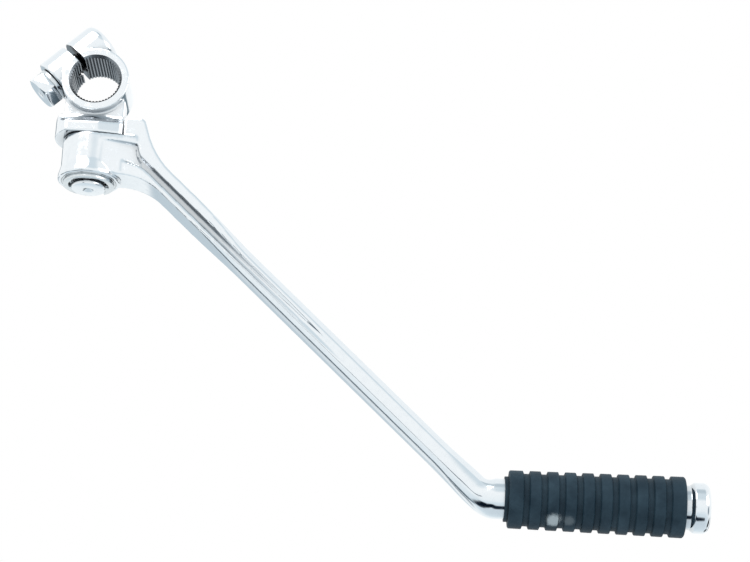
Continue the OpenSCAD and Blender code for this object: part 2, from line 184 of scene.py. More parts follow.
@dataclass(frozen=True)
class Shade:
    """How far painted shade spreads from a corner or gap.

    Attributes:
        reach_mm: How far a neighbouring surface counts.
        closed: The share of open sky at which the shade is deepest.
        clear: The share of open sky at which it ends.
        depth: The deepest shade, from 0 to 1.
    """

    reach_mm: float
    closed: float
    clear: float
    depth: float

    def mask(self, tree: NodeTree) -> Node:
        """Finds the shaded places.

        Args:
            tree: The material's tree.

        Returns:
            0 on open surfaces and the full depth deep in a gap.
        """
        sky = add(tree, "ShaderNodeAmbientOcclusion", {"Distance": self.reach_mm * MM}, samples=8)
        return add(tree, MAP_RANGE, {
            "Value": sky.outputs["AO"], "From Min": self.closed, "From Max": self.clear,
            "To Min": self.depth, "To Max": 0.0,
        })


@dataclass(frozen=True)
class BareBoreShadedSlot:
    """The bore, where the plate does not reach and the steel is left as it was cut, and the slot,
    whose narrow gap is painted dark as shade.

    Lengths are millimetres. The slot's zone is a slab, given by its middle plane.
    """

    bore_r: float
    slot_across: Vector
    slot_along: Vector
    slot_off: float
    slot_half: float
    inside: float = 0.1
    outside: float = 0.05
    slack: float = 0.04


@dataclass(frozen=True)
class BrightChrome:
    """Chromium plate over drop-forged steel that was ground and buffed.

    The plate is a mirror with a cold tint. Buffing leaves the forging's slight waves, and a
    haze where the wheel could not reach. Corners, gaps, pockets and the slot are painted
    darker as shade.
    """

    name: str = "chromium_plate_buffed_forging"
    bare_colour: str = "8B9095"
    bare_roughness: float = 0.3
    # Painted shade: this dark colour is mixed in at corners, gaps and pockets, where shade falls.
    painted_shade_colour: str = "0E1A26"
    corner: Shade = Shade(2.8, 0.2, 0.66, 0.78)
    hollow: Shade = Shade(9.0, 0.25, 0.88, 0.55)
    colour: str = "EEF1F4"
    haze_colour: str = "C9CFD6"
    wave_mm: float = 7.0
    wave_height_mm: float = 0.035
    haze_mm: float = 2.2
    haze_from: float = 0.42
    haze_to: float = 0.72
    clean_roughness: float = 0.045
    hazy_roughness: float = 0.16

    def bare(self, tree: NodeTree, place: NodeSocket, zone: BareBoreShadedSlot) -> tuple[Node, Node]:
        """Finds where the steel is bare, in the bore, and the slot, which is painted dark as shade.

        Args:
            tree: The material's tree.
            place: The object coordinates.
            zone: The bore and the slot.

        Returns:
            Two masks, 1 in the bore and 1 in the slot.
        """
        flat = add(tree, VECTOR_MATH, [place, (1.0, 0.0, 1.0)], operation="MULTIPLY")
        radius = add(tree, VECTOR_MATH, [flat], operation="LENGTH")
        in_bore = add(tree, MAP_RANGE, {
            "Value": radius, "From Min": (zone.bore_r - zone.inside) * MM,
            "From Max": (zone.bore_r + zone.outside) * MM, "To Min": 1.0, "To Max": 0.0,
        })
        across = add(tree, VECTOR_MATH, [place, zone.slot_across], operation="DOT_PRODUCT")
        along = add(tree, VECTOR_MATH, [place, zone.slot_along], operation="DOT_PRODUCT")
        on_slab = add(tree, MATH, [
            across, zone.slot_off * MM, (zone.slot_half + zone.slack) * MM,
        ], operation="COMPARE")
        outside = add(tree, MATH, [along, 0.0], operation="GREATER_THAN")
        in_slot = add(tree, MATH, [on_slab, outside], operation="MULTIPLY")
        return in_bore, in_slot

    def material(self, zone: BareBoreShadedSlot | None = None) -> Material:
        """Builds the plate's material.

        Args:
            zone: Where the steel is bare and where the slot is painted dark as shade, if anywhere.

        Returns:
            The material.
        """
        material, tree = new_material(self.name if zone is None else f"{self.name}_bored")
        place = add(tree, "ShaderNodeTexCoord").outputs["Object"]
        haze = add(tree, NOISE, {
            "Vector": place, "Scale": 1 / (self.haze_mm * MM), "Detail": 4.0, "Roughness": 0.6,
        })
        wave = add(tree, NOISE, {
            "Vector": place, "Scale": 1 / (self.wave_mm * MM), "Detail": 1.0, "Roughness": 0.4,
        })
        rough = add(tree, MAP_RANGE, {
            "Value": haze, "From Min": self.haze_from, "From Max": self.haze_to,
            "To Min": self.clean_roughness, "To Max": self.hazy_roughness,
        })
        tint = add(tree, MIX, {
            "Factor": rough, "A": linear(self.colour), "B": linear(self.haze_colour),
        }, data_type="RGBA")
        bump = add(tree, BUMP, {
            "Height": wave, "Strength": 1.0, "Distance": self.wave_height_mm * MM,
        })
        colour, roughness = tint, rough
        # Painted shade: corners and gaps, and more softly the pockets, are darkened by how little
        # open sky they see.
        painted_shade = add(tree, MATH, [
            self.corner.mask(tree), self.hollow.mask(tree),
        ], operation="MAXIMUM")
        if zone is not None:
            mask, in_slot = self.bare(tree, place, zone)
            # The slot is painted in the same dark colour, as painted shade in its narrow gap.
            painted_shade = add(tree, MATH, [painted_shade, in_slot], operation="MAXIMUM")
            colour = add(tree, MIX, {
                "Factor": mask, "A": colour, "B": linear(self.bare_colour),
            }, data_type="RGBA")
            roughness = add(tree, MIX, {
                "Factor": mask, "A": roughness, "B": self.bare_roughness,
            }, data_type="FLOAT")
        colour = add(tree, MIX, {
            "Factor": painted_shade, "A": colour, "B": linear(self.painted_shade_colour),
        }, data_type="RGBA")
        shader = add(tree, PRINCIPLED, {
            "Base Color": colour, "Metallic": 1.0, "Roughness": roughness, "Normal": bump,
        })
        finish_surface(tree, shader)
        return material


@dataclass(frozen=True)
class MouldedRubber:
    """Compression-moulded carbon black rubber, a little chalky from handling.

    It is a blue-grey black with a low sheen. Two ribs carry pale scuffs. The grooves between the
    ribs are painted near black as shade.
    """

    name: str = "natural_rubber_moulded"
    colour: str = "182A35"
    chalk: str = "2C3F4A"
    scuff: str = "A3AFB3"
    # Painted shade colour of the grooves between the ribs.
    groove_shade_colour: str = "04070A"
    sheen: float = 0.14
    corner: Shade = Shade(2.0, 0.3, 0.85, 0.85)
    grain_mm: float = 0.5
    grain_height_mm: float = 0.05
    cloud_mm: float = 9.0
    chalk_from: float = 0.35
    chalk_to: float = 0.75
    smooth: float = 0.42
    dull: float = 0.68
    ior: float = 1.52
    scuff_wander: float = 0.8
    scuff_core: float = 0.9
    scuff_end: float = 1.5
    rib_shade: float = 0.08

    def material(self, scuffs: Sequence[tuple[Vector, float, float]]) -> Material:
        """Builds the rubber's material.

        Args:
            scuffs: The centre of each scuff in metres, its radius in millimetres and its strength.

        Returns:
            The material.
        """
        material, tree = new_material(self.name)
        place = add(tree, "ShaderNodeTexCoord").outputs["Object"]
        grain = add(tree, NOISE, {
            "Vector": place, "Scale": 1 / (self.grain_mm * MM), "Detail": 3.0, "Roughness": 0.65,
        })
        cloud = add(tree, NOISE, {
            "Vector": place, "Scale": 1 / (self.cloud_mm * MM), "Detail": 5.0, "Roughness": 0.6,
        })
        chalk = add(tree, MAP_RANGE, {
            "Value": cloud, "From Min": self.chalk_from, "From Max": self.chalk_to,
        })
        colour = add(tree, MIX, {
            "Factor": chalk, "A": linear(self.colour), "B": linear(self.chalk),
        }, data_type="RGBA")
        # Painted shade of the grooves between the ribs. It also keeps the scuffs off the grooves.
        groove = self.corner.mask(tree)
        for centre, radius_mm, strength in scuffs:
            radius = radius_mm * MM
            away = add(tree, VECTOR_MATH, [place, centre], operation="DISTANCE")
            ragged = add(tree, MATH, [
                grain, self.scuff_wander * radius, away,
            ], operation="MULTIPLY_ADD")
            mask = add(tree, MAP_RANGE, {
                "Value": ragged, "From Min": self.scuff_core * radius,
                "From Max": self.scuff_end * radius, "To Min": strength, "To Max": 0.0,
            }, interpolation_type="SMOOTHSTEP")
            # Only the raised ribs are rubbed, not the grooves between them.
            rubbed = add(tree, MAP_RANGE, {
                "Value": groove, "From Max": self.rib_shade, "To Min": mask, "To Max": 0.0,
            })
            colour = add(tree, MIX, {
                "Factor": rubbed, "A": colour, "B": linear(self.scuff),
            }, data_type="RGBA")
        bump = add(tree, BUMP, {
            "Height": grain, "Strength": 0.6, "Distance": self.grain_height_mm * MM,
        })
        rough = add(tree, MAP_RANGE, {"Value": cloud, "To Min": self.smooth, "To Max": self.dull})
        # Painted shade: the grooves are darkened towards near black.
        colour = add(tree, MIX, {
            "Factor": groove, "A": colour, "B": linear(self.groove_shade_colour),
        }, data_type="RGBA")
        shader = add(tree, PRINCIPLED, {
            "Base Color": colour, "Roughness": rough, "IOR": self.ior,
            "Specular IOR Level": self.sheen, "Normal": bump,
        })
        finish_surface(tree, shader)
        return material


@dataclass(frozen=True)
class PlainSteel:
    """Steel with a thin conversion or zinc coat, slightly mottled, with painted shade in its corners
    and gaps.
    """

    name: str
    colour: str
    mottle: str
    roughness: float
    grain_mm: float = 0.8
    grain_height_mm: float = 0.01
    spread: float = 0.3
    # Painted shade: this dark colour is mixed in at corners and gaps.
    painted_shade_colour: str = "0E1A26"
    corner: Shade = Shade(2.0, 0.12, 0.5, 0.92)

    def material(self) -> Material:
        """Builds the coated steel's material.

        Returns:
            The material.
        """
        material, tree = new_material(self.name)
        place = add(tree, "ShaderNodeTexCoord").outputs["Object"]
        noise = add(tree, NOISE, {
            "Vector": place, "Scale": 1 / (self.grain_mm * MM), "Detail": 4.0, "Roughness": 0.6,
        })
        colour = add(tree, MIX, {
            "Factor": noise, "A": linear(self.colour), "B": linear(self.mottle),
        }, data_type="RGBA")
        # Painted shade: corners and gaps are darkened towards the dark colour.
        colour = add(tree, MIX, {
            "Factor": self.corner.mask(tree), "A": colour, "B": linear(self.painted_shade_colour),
        }, data_type="RGBA")
        rough = add(tree, MAP_RANGE, {
            "Value": noise, "To Min": (1 - self.spread) * self.roughness,
            "To Max": (1 + self.spread) * self.roughness,
        })
        bump = add(tree, BUMP, {
            "Height": noise, "Strength": 0.4, "Distance": self.grain_height_mm * MM,
        })
        shader = add(tree, PRINCIPLED, {
            "Base Color": colour, "Metallic": 1.0, "Roughness": rough, "Normal": bump,
        })
        finish_surface(tree, shader)
        return material


def polar(radius: float, angle: float) -> Point2:
    """The point at an angle on a circle round the origin."""
    return radius * math.cos(angle), radius * math.sin(angle)


def rounded(corners: Sequence[Corner], steps: int = 10) -> list[Point2]:
    """Rounds the corners of a closed outline.

    Args:
        corners: Each corner's two coordinates, and a radius where it is rounded.
        steps: Arc segments at a rounded corner.

    Returns:
        The outline's points.
    """
    out: list[Point2] = []
    for i, (x, y, *rest) in enumerate(corners):
        if not rest:
            out.append((x, y))
            continue
        here, radius = Vector((x, y)), rest[0]
        back = (Vector(corners[i - 1][:2]) - here).normalized()
        ahead = (Vector(corners[i + 1 - len(corners)][:2]) - here).normalized()
        half = math.acos(max(-1.0, min(1.0, back.dot(ahead)))) / 2
        centre = here + (back + ahead).normalized() * radius / math.sin(half)
        start = here + back * radius / math.tan(half) - centre
        end = here + ahead * radius / math.tan(half) - centre
        first = math.atan2(start.y, start.x)
        turn = (math.atan2(end.y, end.x) - first + 3 * math.pi) % (2 * math.pi) - math.pi
        for k in range(steps + 1):
            across, up = polar(radius, first + turn * k / steps)
            out.append((centre.x + across, centre.y + up))
    return out


def new_object(name: str, data: ID) -> Object:
    """Adds an object to the scene, at the origin.

    Args:
        name: The object's name.
        data: Its mesh, camera or lamp.

    Returns:
        The object.
    """
    made = bpy.data.objects.new(name, data)
    bpy.context.scene.collection.objects.link(made)
    return made


@contextmanager
def editing(mesh: Mesh) -> Iterator[BMesh]:
    """Opens a mesh, and writes it back at the end.

    Args:
        mesh: The mesh.

    Yields:
        Its shape, to be changed.
    """
    shape = bmesh.new()
    shape.from_mesh(mesh)
    yield shape
    shape.to_mesh(mesh)
    shape.free()


def mesh_object(name: str, shape: BMesh) -> Object:
    """Turns a shape in millimetres into an object in metres, with its faces pointing outwards.

    Args:
        name: The object's name.
        shape: The shape, which is used up.

    Returns:
        The object, at the origin.
    """
    bmesh.ops.remove_doubles(shape, verts=shape.verts, dist=1e-5)
    bmesh.ops.recalc_face_normals(shape, faces=shape.faces)
    shape.transform(Matrix.Scale(MM, 4))
    mesh = bpy.data.meshes.new(name)
    shape.to_mesh(mesh)
    shape.free()
    return new_object(name, mesh)


def absorb(piece: Object, other: Object) -> None:
    """Puts another object's mesh into a piece, beside what is there or through it.

    Args:
        piece: The piece.
        other: The object, which is removed.
    """
    with editing(piece.data) as shape:
        shape.from_mesh(other.data)
    bpy.data.objects.remove(other)


def loft(rings: Sequence[Ring], closed: bool = False) -> BMesh:
    """Skins a row of rings with as many points each.

    Args:
        rings: The rings, in millimetres.
        closed: Whether the last ring joins the first; otherwise both ends get a cap.

    Returns:
        The shape.
    """
    shape = bmesh.new()
    rows = [[shape.verts.new(p) for p in ring] for ring in rings]
    pairs = list(zip(rows, rows[1:]))
    if closed:
        pairs.append((rows[-1], rows[0]))
    for near, far in pairs:
        for k in range(len(near)):
            j = (k + 1) % len(near)
            shape.faces.new((near[k], near[j], far[j], far[k]))
    if not closed:
        shape.faces.new(rows[0])
        shape.faces.new(rows[-1])
    return shape


def lathe(
    profile: Sequence[Corner], place: Matrix, segments: int = 192, steps: int = 10
) -> BMesh:
    """Turns a profile about the local Z axis, and closes it at the axis.

    Args:
        profile: Radius and height of each corner in millimetres, and a radius where it is rounded.
        place: Where the axis stands.
        segments: Facets round the axis.
        steps: Arc segments at a rounded corner.

    Returns:
        The shape.
    """
    outline = rounded([(AXIS, profile[0][1]), *profile, (AXIS, profile[-1][1])], steps)
    rings: list[Ring] = []
    for k in range(segments):
        c, s = polar(1, 2 * math.pi * k / segments)
        rings.append([place @ Vector((r * c, r * s, z)) for r, z in outline])
    return loft(rings, closed=True)


def prism(
    outline: Sequence[Corner], low: float, high: float, place: Matrix, steps: int = 10
) -> BMesh:
    """Extrudes an outline along the local Z axis.

    Args:
        outline: The outline's corners in millimetres, with a radius where one is rounded.
        low: Where the prism starts.
        high: Where it ends.
        place: The outline's frame.
        steps: Arc segments at a rounded corner.

    Returns:
        The shape.
    """
    points = rounded(outline, steps)
    return loft([[place @ Vector((x, y, z)) for x, y in points] for z in (low, high)])


def settle(piece: Object) -> Object:
    """Turns a piece with modifiers into a plain mesh and removes them.

    Args:
        piece: The piece.

    Returns:
        The same piece.
    """
    bpy.context.view_layer.update()
    graph = bpy.context.evaluated_depsgraph_get()
    mesh = bpy.data.meshes.new_from_object(piece.evaluated_get(graph))
    piece.modifiers.clear()
    old = piece.data
    piece.data = mesh
    bpy.data.meshes.remove(old)
    return piece


def combine(piece: Object, tool: Object | BMesh, op: Op) -> Object:
    """Joins a tool to a piece, cuts it out, or keeps what both hold.

    Args:
        piece: The piece.
        tool: The tool or its shape in millimetres, which is used up.
        op: What is done.

    Returns:
        The same piece.
    """
    if isinstance(tool, BMesh):
        tool = mesh_object("tool", tool)
    modifier = piece.modifiers.new("combine", "BOOLEAN")
    modifier.operation = op.value
    modifier.solver = "MANIFOLD"
    modifier.object = tool
    settle(piece)
    mesh = tool.data
    bpy.data.objects.remove(tool)
    bpy.data.meshes.remove(mesh)
    return piece


def forge(piece: Object, voxel_mm: float, rounds: int) -> Object:
    """Fuses overlapping shapes and rounds every edge, as a die and a buffing wheel leave them.

    Args:
        piece: The piece.
        voxel_mm: Fineness of the new skin.
        rounds: Times that the skin is relaxed: more of them make wider fillets.

    Returns:
        The same piece.
    """
    skin = piece.modifiers.new("skin", "REMESH")
    skin.mode = "VOXEL"
    skin.voxel_size = voxel_mm * MM
    relax = piece.modifiers.new("relax", "SMOOTH")
    relax.factor = 0.5
    relax.iterations = rounds
    return settle(piece)


def break_edges(piece: Object, width_mm: float, over_deg: float) -> Object:
    """Bevels the edges that turn by more than an angle.

    Args:
        piece: The piece.
        width_mm: The bevel's width.
        over_deg: The angle.

    Returns:
        The same piece.
    """
    bevel = piece.modifiers.new("edge", "BEVEL")
    bevel.width = width_mm * MM
    bevel.segments = 2
    bevel.limit_method = "ANGLE"
    bevel.angle_limit = math.radians(over_deg)
    return settle(piece)


def dress(
    piece: Object,
    material: Material,
    body: Body,
    replaces: Sequence[str] = (),
) -> None:
    """Gives a finished piece its material, shading and place in the lever.

    Args:
        piece: The piece.
        material: What it is made of.
        body: The body that it moves with.
        replaces: CAD nodes that it stands for.
    """
    mesh = piece.data
    mesh.materials.clear()
    mesh.materials.append(material)
    mesh.polygons.foreach_set("use_smooth", [True] * len(mesh.polygons))
    mesh.set_sharp_from_angle(angle=math.radians(SHARP_DEG))
    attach(piece, body.value)
    if replaces:
        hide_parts(*replaces)
    LOG.info("%s rides on %s, %d faces", piece.name, body.value, len(mesh.polygons))


class Recipe:
    """A Geometry Nodes tree with named inputs, which makes one plain mesh."""

    SOCKETS = {float: "NodeSocketFloat", int: "NodeSocketInt", Vector: "NodeSocketVector"}

    def __init__(self, name: str, values: dict[str, float | int | Vector]) -> None:
        """Starts the tree.

        Args:
            name: The tree's name.
            values: Each input's name and value, lengths in metres.
        """
        self.values = values
        self.tree = bpy.data.node_groups.new(name, "GeometryNodeTree")
        kinds = {label: self.SOCKETS[type(value)] for label, value in values.items()}
        new_socket = self.tree.interface.new_socket
        for label, kind in {**kinds, "Material": "NodeSocketMaterial"}.items():
            new_socket(name=label, in_out="INPUT", socket_type=kind)
        new_socket(name="Geometry", in_out="OUTPUT", socket_type="NodeSocketGeometry")
        self.given = add(self.tree, "NodeGroupInput").outputs

    def grow(self, name: str, last: Node, material: Material) -> Object:
        """Ends the tree with Realize Instances and Set Material, and runs it.

        Args:
            name: The piece's name.
            last: The node that makes the geometry.
            material: The piece's material.

        Returns:
            The piece, a plain mesh with its faces pointing outwards.
        """
        real = add(self.tree, "GeometryNodeRealizeInstances", [last])
        made = add(self.tree, "GeometryNodeSetMaterial", {
            "Geometry": real, "Material": self.given["Material"],
        })
        add(self.tree, "NodeGroupOutput", [made])
        piece = new_object(name, bpy.data.meshes.new(name))
        modifier = piece.modifiers.new("recipe", "NODES")
        modifier.node_group = self.tree
        values = {**self.values, "Material": material}
        for item in self.tree.interface.items_tree:
            if item.in_out == "INPUT":
                modifier[item.identifier] = values[item.name]
        settle(piece)
        with editing(piece.data) as shape:
            bmesh.ops.remove_doubles(shape, verts=shape.verts, dist=1e-8)
            bmesh.ops.recalc_face_normals(shape, faces=shape.faces)
        return piece


UPRIGHT = Matrix.Identity(4)
ALONG_BORE = Matrix.Rotation(math.radians(90), 4, "X")
ALONG_PEG = Matrix.Rotation(math.radians(90), 4, "Y")


@dataclass
class Knuckle:
    """The forged block that clamps on the kick shaft, with the pivot that stands down from it.

    A serration's crest and root are shares of its pitch, where its depth starts and ends.
    """

    bore_r: float = 9.5
    tooth_depth: float = 0.65
    teeth: int = 48
    tooth_points: int = 10
    tooth_crest: float = 0.2
    tooth_root: float = 0.44
    mouth: float = 1.1
    boss_r: float = 13.5
    boss_w: float = 20.0
    slot_w: float = 2.2
    slot_deg: float = 135.0
    slot_off: float = 1.3
    ear_r: float = 9.3
    ear_head: float = 11.2
    ear_thread: float = 15.8
    ear_edge: float = 0.5
    ear_round: float = 3.0
    bolt_r: float = 4.0
    hole_clear: float = 0.5
    thread_clear: float = 0.1
    hole_chamfer: float = 0.6
    spot_r: float = 7.2
    spot_depth: float = 2.0
    bolt_off: float = 13.65
    joint_z: float = -23.5
    base_h: float = 9.0
    base_r: float = 15.1
    base_front: float = 11.3
    front_end: float = 1.7
    front_round: float = 1.8
    stop_r: float = 12.5
    neck_t: float = 13.4
    neck_left: float = 11.4
    neck_edge: float = 1.0
    base_edge: float = 0.6
    base_round: float = 3.0
    hollow_r: float = 4.4
    pivot_r: float = 6.75
    groove_depth: float = 1.0
    clip_top: float = -41.15
    groove_h: float = 1.4
    pivot_end: float = -44.15
    pivot_edge: float = 0.7
    centre_r: float = 2.2
    centre_depth: float = 1.4
    ball_r: float = 9.2
    ball_hole_r: float = 2.6
    ball_roof: float = 1.6
    voxel: float = 0.27
    rounds: int = 9

    @property
    def bolt_frame(self) -> Matrix:
        """The frame of the pinch bolt: its axis is Z, from the head to the thread.

        Returns:
            The frame, in millimetres.
        """
        angle = math.radians(self.slot_deg)
        centre = Vector((math.cos(angle), 0, math.sin(angle))) * self.bolt_off
        return Matrix.Translation(centre) @ Matrix.Rotation(math.pi - angle, 4, "Y")

    @property
    def bare_bore_shaded_slot(self) -> BareBoreShadedSlot:
        """Where the knuckle's steel stays bare, and where its slot is painted dark as shade.

        Returns:
            The bore and the slot.
        """
        turn = self.bolt_frame.to_3x3()
        across = turn @ Vector((0, 0, 1))
        return BareBoreShadedSlot(
            self.bore_r + max(self.tooth_depth, self.mouth), across, turn @ Vector((-1, 0, 0)),
            self.slot_off, self.slot_w / 2,
        )

    def base_plan(self) -> list[Point2]:
        """The base seen from above: round end, straight front and back, and two stop faces.

        Returns:
            The outline's points.
        """
        front, back = (math.asin(v / self.base_r) for v in (self.base_front, self.stop_r))
        shares = [k / 40 for k in range(41)]
        corner = rounded([
            (0, 0), (0, -self.base_front), (self.stop_r / 4, -self.base_front),
            (self.stop_r, self.front_end - self.base_front, self.front_round), (self.stop_r, 0),
        ])
        return [
            *(polar(self.base_r, math.pi - back + (back + front) * share) for share in shares),
            *corner[2:-1], *(polar(self.stop_r, math.pi / 2 * share) for share in shares),
        ]

    def neck_side(self) -> list[Point2]:
        """The base and neck seen along X: Y and Z of the outline, hollowed below the boss.

        Returns:
            The outline's points.
        """
        top = self.base_h + self.joint_z
        half = self.neck_t / 2
        steps = 12
        points: list[Point2] = [(-self.base_front, self.joint_z), (self.stop_r, self.joint_z)]
        for side, reach in ((1, self.stop_r), (-1, self.base_front)):
            arc = []
            for k in range(steps + 1):
                c, s = polar(1, -math.pi / 2 * (1 - k / steps))
                out = half + self.hollow_r * (1 - c) - (reach - half - self.hollow_r) * s
                arc.append((side * out, top + self.hollow_r * s))
            arc.append((side * half, 0.0))
            points += arc if side > 0 else arc[::-1]
        return points

    def neck_front(self) -> list[Corner]:
        """The base and neck seen from the front: X and Z of the outline.

        Returns:
            The outline's corners.
        """
        top = self.base_h + self.joint_z
        return [
            (-self.base_r, self.joint_z, self.base_edge), (self.stop_r, self.joint_z),
            (self.stop_r, self.joint_z / 3), (0, 0), (-self.neck_left, self.joint_z / 4),
            (-self.neck_left, top, self.neck_edge), (-self.base_r, top, self.base_round),
        ]

    def block(self) -> Object:
        """The forging before it is bored and slotted.

        Returns:
            The block.
        """
        half, span = self.boss_w / 2, 1.2 * self.base_r
        from_side = Matrix(((0, 0, 1, 0), (1, 0, 0, 0), (0, 1, 0, 0), (0, 0, 0, 1)))
        base = mesh_object("base", prism(self.base_plan(), self.joint_z, 0, UPRIGHT))
        combine(base, prism(self.neck_side(), -span, span, from_side), Op.KEEP)
        combine(base, prism(self.neck_front(), -span, span, ALONG_BORE), Op.KEEP)
        boss = [(self.boss_r, -half), (self.boss_r, half)]
        ears = [
            (self.ear_r, -self.ear_head, self.ear_edge),
            (self.ear_r, self.ear_thread, self.ear_round),
        ]
        whole = mesh_object("knuckle_forging", lathe(boss, ALONG_BORE))
        absorb(whole, mesh_object("ears", lathe(ears, self.bolt_frame)))
        absorb(whole, base)
        return whole

    def broach(self, material: Material) -> Object:
        """The cutter for the serrated bore.

        Args:
            material: The material of the faces that it leaves.

        Returns:
            The cutter, along the bore.
        """
        recipe = Recipe("serrated_broach", {
            "Tip Radius": self.bore_r * MM, "Depth": self.tooth_depth * MM, "Teeth": self.teeth,
            "Length": (self.boss_w + 2) * MM, "Points": self.teeth * self.tooth_points,
        })
        tree, given = recipe.tree, recipe.given
        circle = add(tree, "GeometryNodeMeshCircle", {
            "Vertices": given["Points"], "Radius": given["Tip Radius"],
        }, fill_type="NGON")
        index = add(tree, "GeometryNodeInputIndex")
        turn = add(tree, MATH, [index, given["Points"]], operation="DIVIDE")
        phase = add(tree, MATH, [turn, given["Teeth"]], operation="MULTIPLY")
        wave = add(tree, MATH, [phase, 0.5], operation="PINGPONG")
        cut = add(tree, MAP_RANGE, {
            "Value": wave, "From Min": self.tooth_crest, "From Max": self.tooth_root, "To Min": 0.0,
            "To Max": given["Depth"],
        })
        place = add(tree, "GeometryNodeInputPosition")
        outward = add(tree, VECTOR_MATH, [place], operation="NORMALIZE")
        move = add(tree, VECTOR_MATH, {0: outward, "Scale": cut}, operation="SCALE")
        toothed = add(tree, "GeometryNodeSetPosition", {"Geometry": circle, "Offset": move})
        half = add(tree, MATH, [given["Length"], 0.5], operation="MULTIPLY")
        down = add(tree, MATH, [half, -1.0], operation="MULTIPLY")
        low = add(tree, "ShaderNodeCombineXYZ", {"Z": down})
        rise = add(tree, "ShaderNodeCombineXYZ", {"Z": given["Length"]})
        lowered = add(tree, "GeometryNodeTransform", {"Geometry": toothed, "Translation": low})
        stood = add(tree, "GeometryNodeExtrudeMesh", {
            "Mesh": lowered, "Offset": rise, "Offset Scale": 1.0,
        }, mode="FACES")
        floor = add(tree, "GeometryNodeFlipFaces", {"Mesh": lowered})
        both = add(tree, "GeometryNodeJoinGeometry", [stood])
        tree.links.new(floor.outputs[0], both.inputs[0])
        turned = add(tree, "GeometryNodeTransform", {
            "Geometry": both, "Rotation": (math.radians(90), 0, 0),
        })
        return recipe.grow("broach", turned, material)

    def machined(self, block: Object, chrome: Material) -> Object:
        """Cuts the bore, its mouths, the slot and the holes.

        Args:
            block: The forged block.
            chrome: The plate's material.

        Returns:
            The same block.
        """
        combine(block, self.broach(chrome), Op.CUT)
        within, beyond = 0.3, 0.4
        start, end = self.boss_w / 2 - self.mouth - within, self.boss_w / 2 + beyond
        narrow, broad = self.bore_r - within, self.bore_r + self.mouth + beyond
        for side in (-1, 1):
            cone = [(narrow, side * start), (broad, side * end)]
            combine(block, lathe(cone, ALONG_BORE), Op.CUT)
        wide, past = self.bolt_r + self.hole_clear, self.slot_off + self.slot_w
        tight, spot = self.bolt_r + self.thread_clear, -self.ear_head - self.spot_depth
        chamfer, face = self.hole_chamfer, self.ear_thread
        holes = [
            [
                (self.spot_r, spot), (self.spot_r, -self.ear_head), (wide, -self.ear_head),
                (wide, past),
            ],
            [(tight, -AXIS), (tight, face - chamfer), (tight + chamfer + beyond, face + beyond)],
        ]
        for hole in holes:
            combine(block, lathe(hole, self.bolt_frame, 96), Op.CUT)
        roof = self.joint_z + self.base_h - self.ball_roof
        pocket = [(self.ball_hole_r, self.joint_z - 1), (self.ball_hole_r, roof)]
        return combine(block, lathe(pocket, Matrix.Translation((-self.ball_r, 0, 0)), 64), Op.CUT)

    def slot(self) -> Object:
        """The cutter for the slot that lets the boss close.

        Returns:
            The cutter.
        """
        low, high = -self.ear_r - 1, self.bolt_off
        outline = [
            (low, -self.boss_w), (high, -self.boss_w), (high, self.boss_w), (low, self.boss_w),
        ]
        near, far = self.slot_off - self.slot_w / 2, self.slot_off + self.slot_w / 2
        return mesh_object("slot", prism(outline, near, far, self.bolt_frame))

    def pin(self) -> Object:
        """The turned pivot with its clip groove and rounded end.

        Returns:
            The pivot.
        """
        core, edge, nick = self.pivot_r - self.groove_depth, self.pivot_edge, 0.15
        low = self.clip_top - self.groove_h
        profile = [
            (self.pivot_r, self.joint_z + 2), (self.pivot_r, self.clip_top + nick),
            (self.pivot_r - nick, self.clip_top), (core, self.clip_top), (core, low),
            (self.pivot_r - nick, low), (self.pivot_r, low - nick),
            (self.pivot_r, self.pivot_end + edge),
            (self.pivot_r - 0.3 * edge, self.pivot_end + 0.3 * edge),
            (self.pivot_r - edge, self.pivot_end), (self.centre_r, self.pivot_end),
            (AXIS, self.pivot_end + self.centre_depth),
        ]
        return mesh_object("pivot_pin", lathe(profile, UPRIGHT, 128))

    def build(self, bored: Material, chrome: Material) -> None:
        """Makes and dresses the knuckle and its pivot.

        Args:
            bored: The plate with bare steel in the bore and painted shade in the slot.
            chrome: The plate.
        """
        block = self.block()
        combine(forge(block, self.voxel, 1), self.slot(), Op.CUT)
        forge(block, self.voxel, self.rounds)
        self.machined(block, chrome)
        dress(block, bored, Body.HUB, ["knuckle"])
        dress(self.pin(), chrome, Body.HUB)


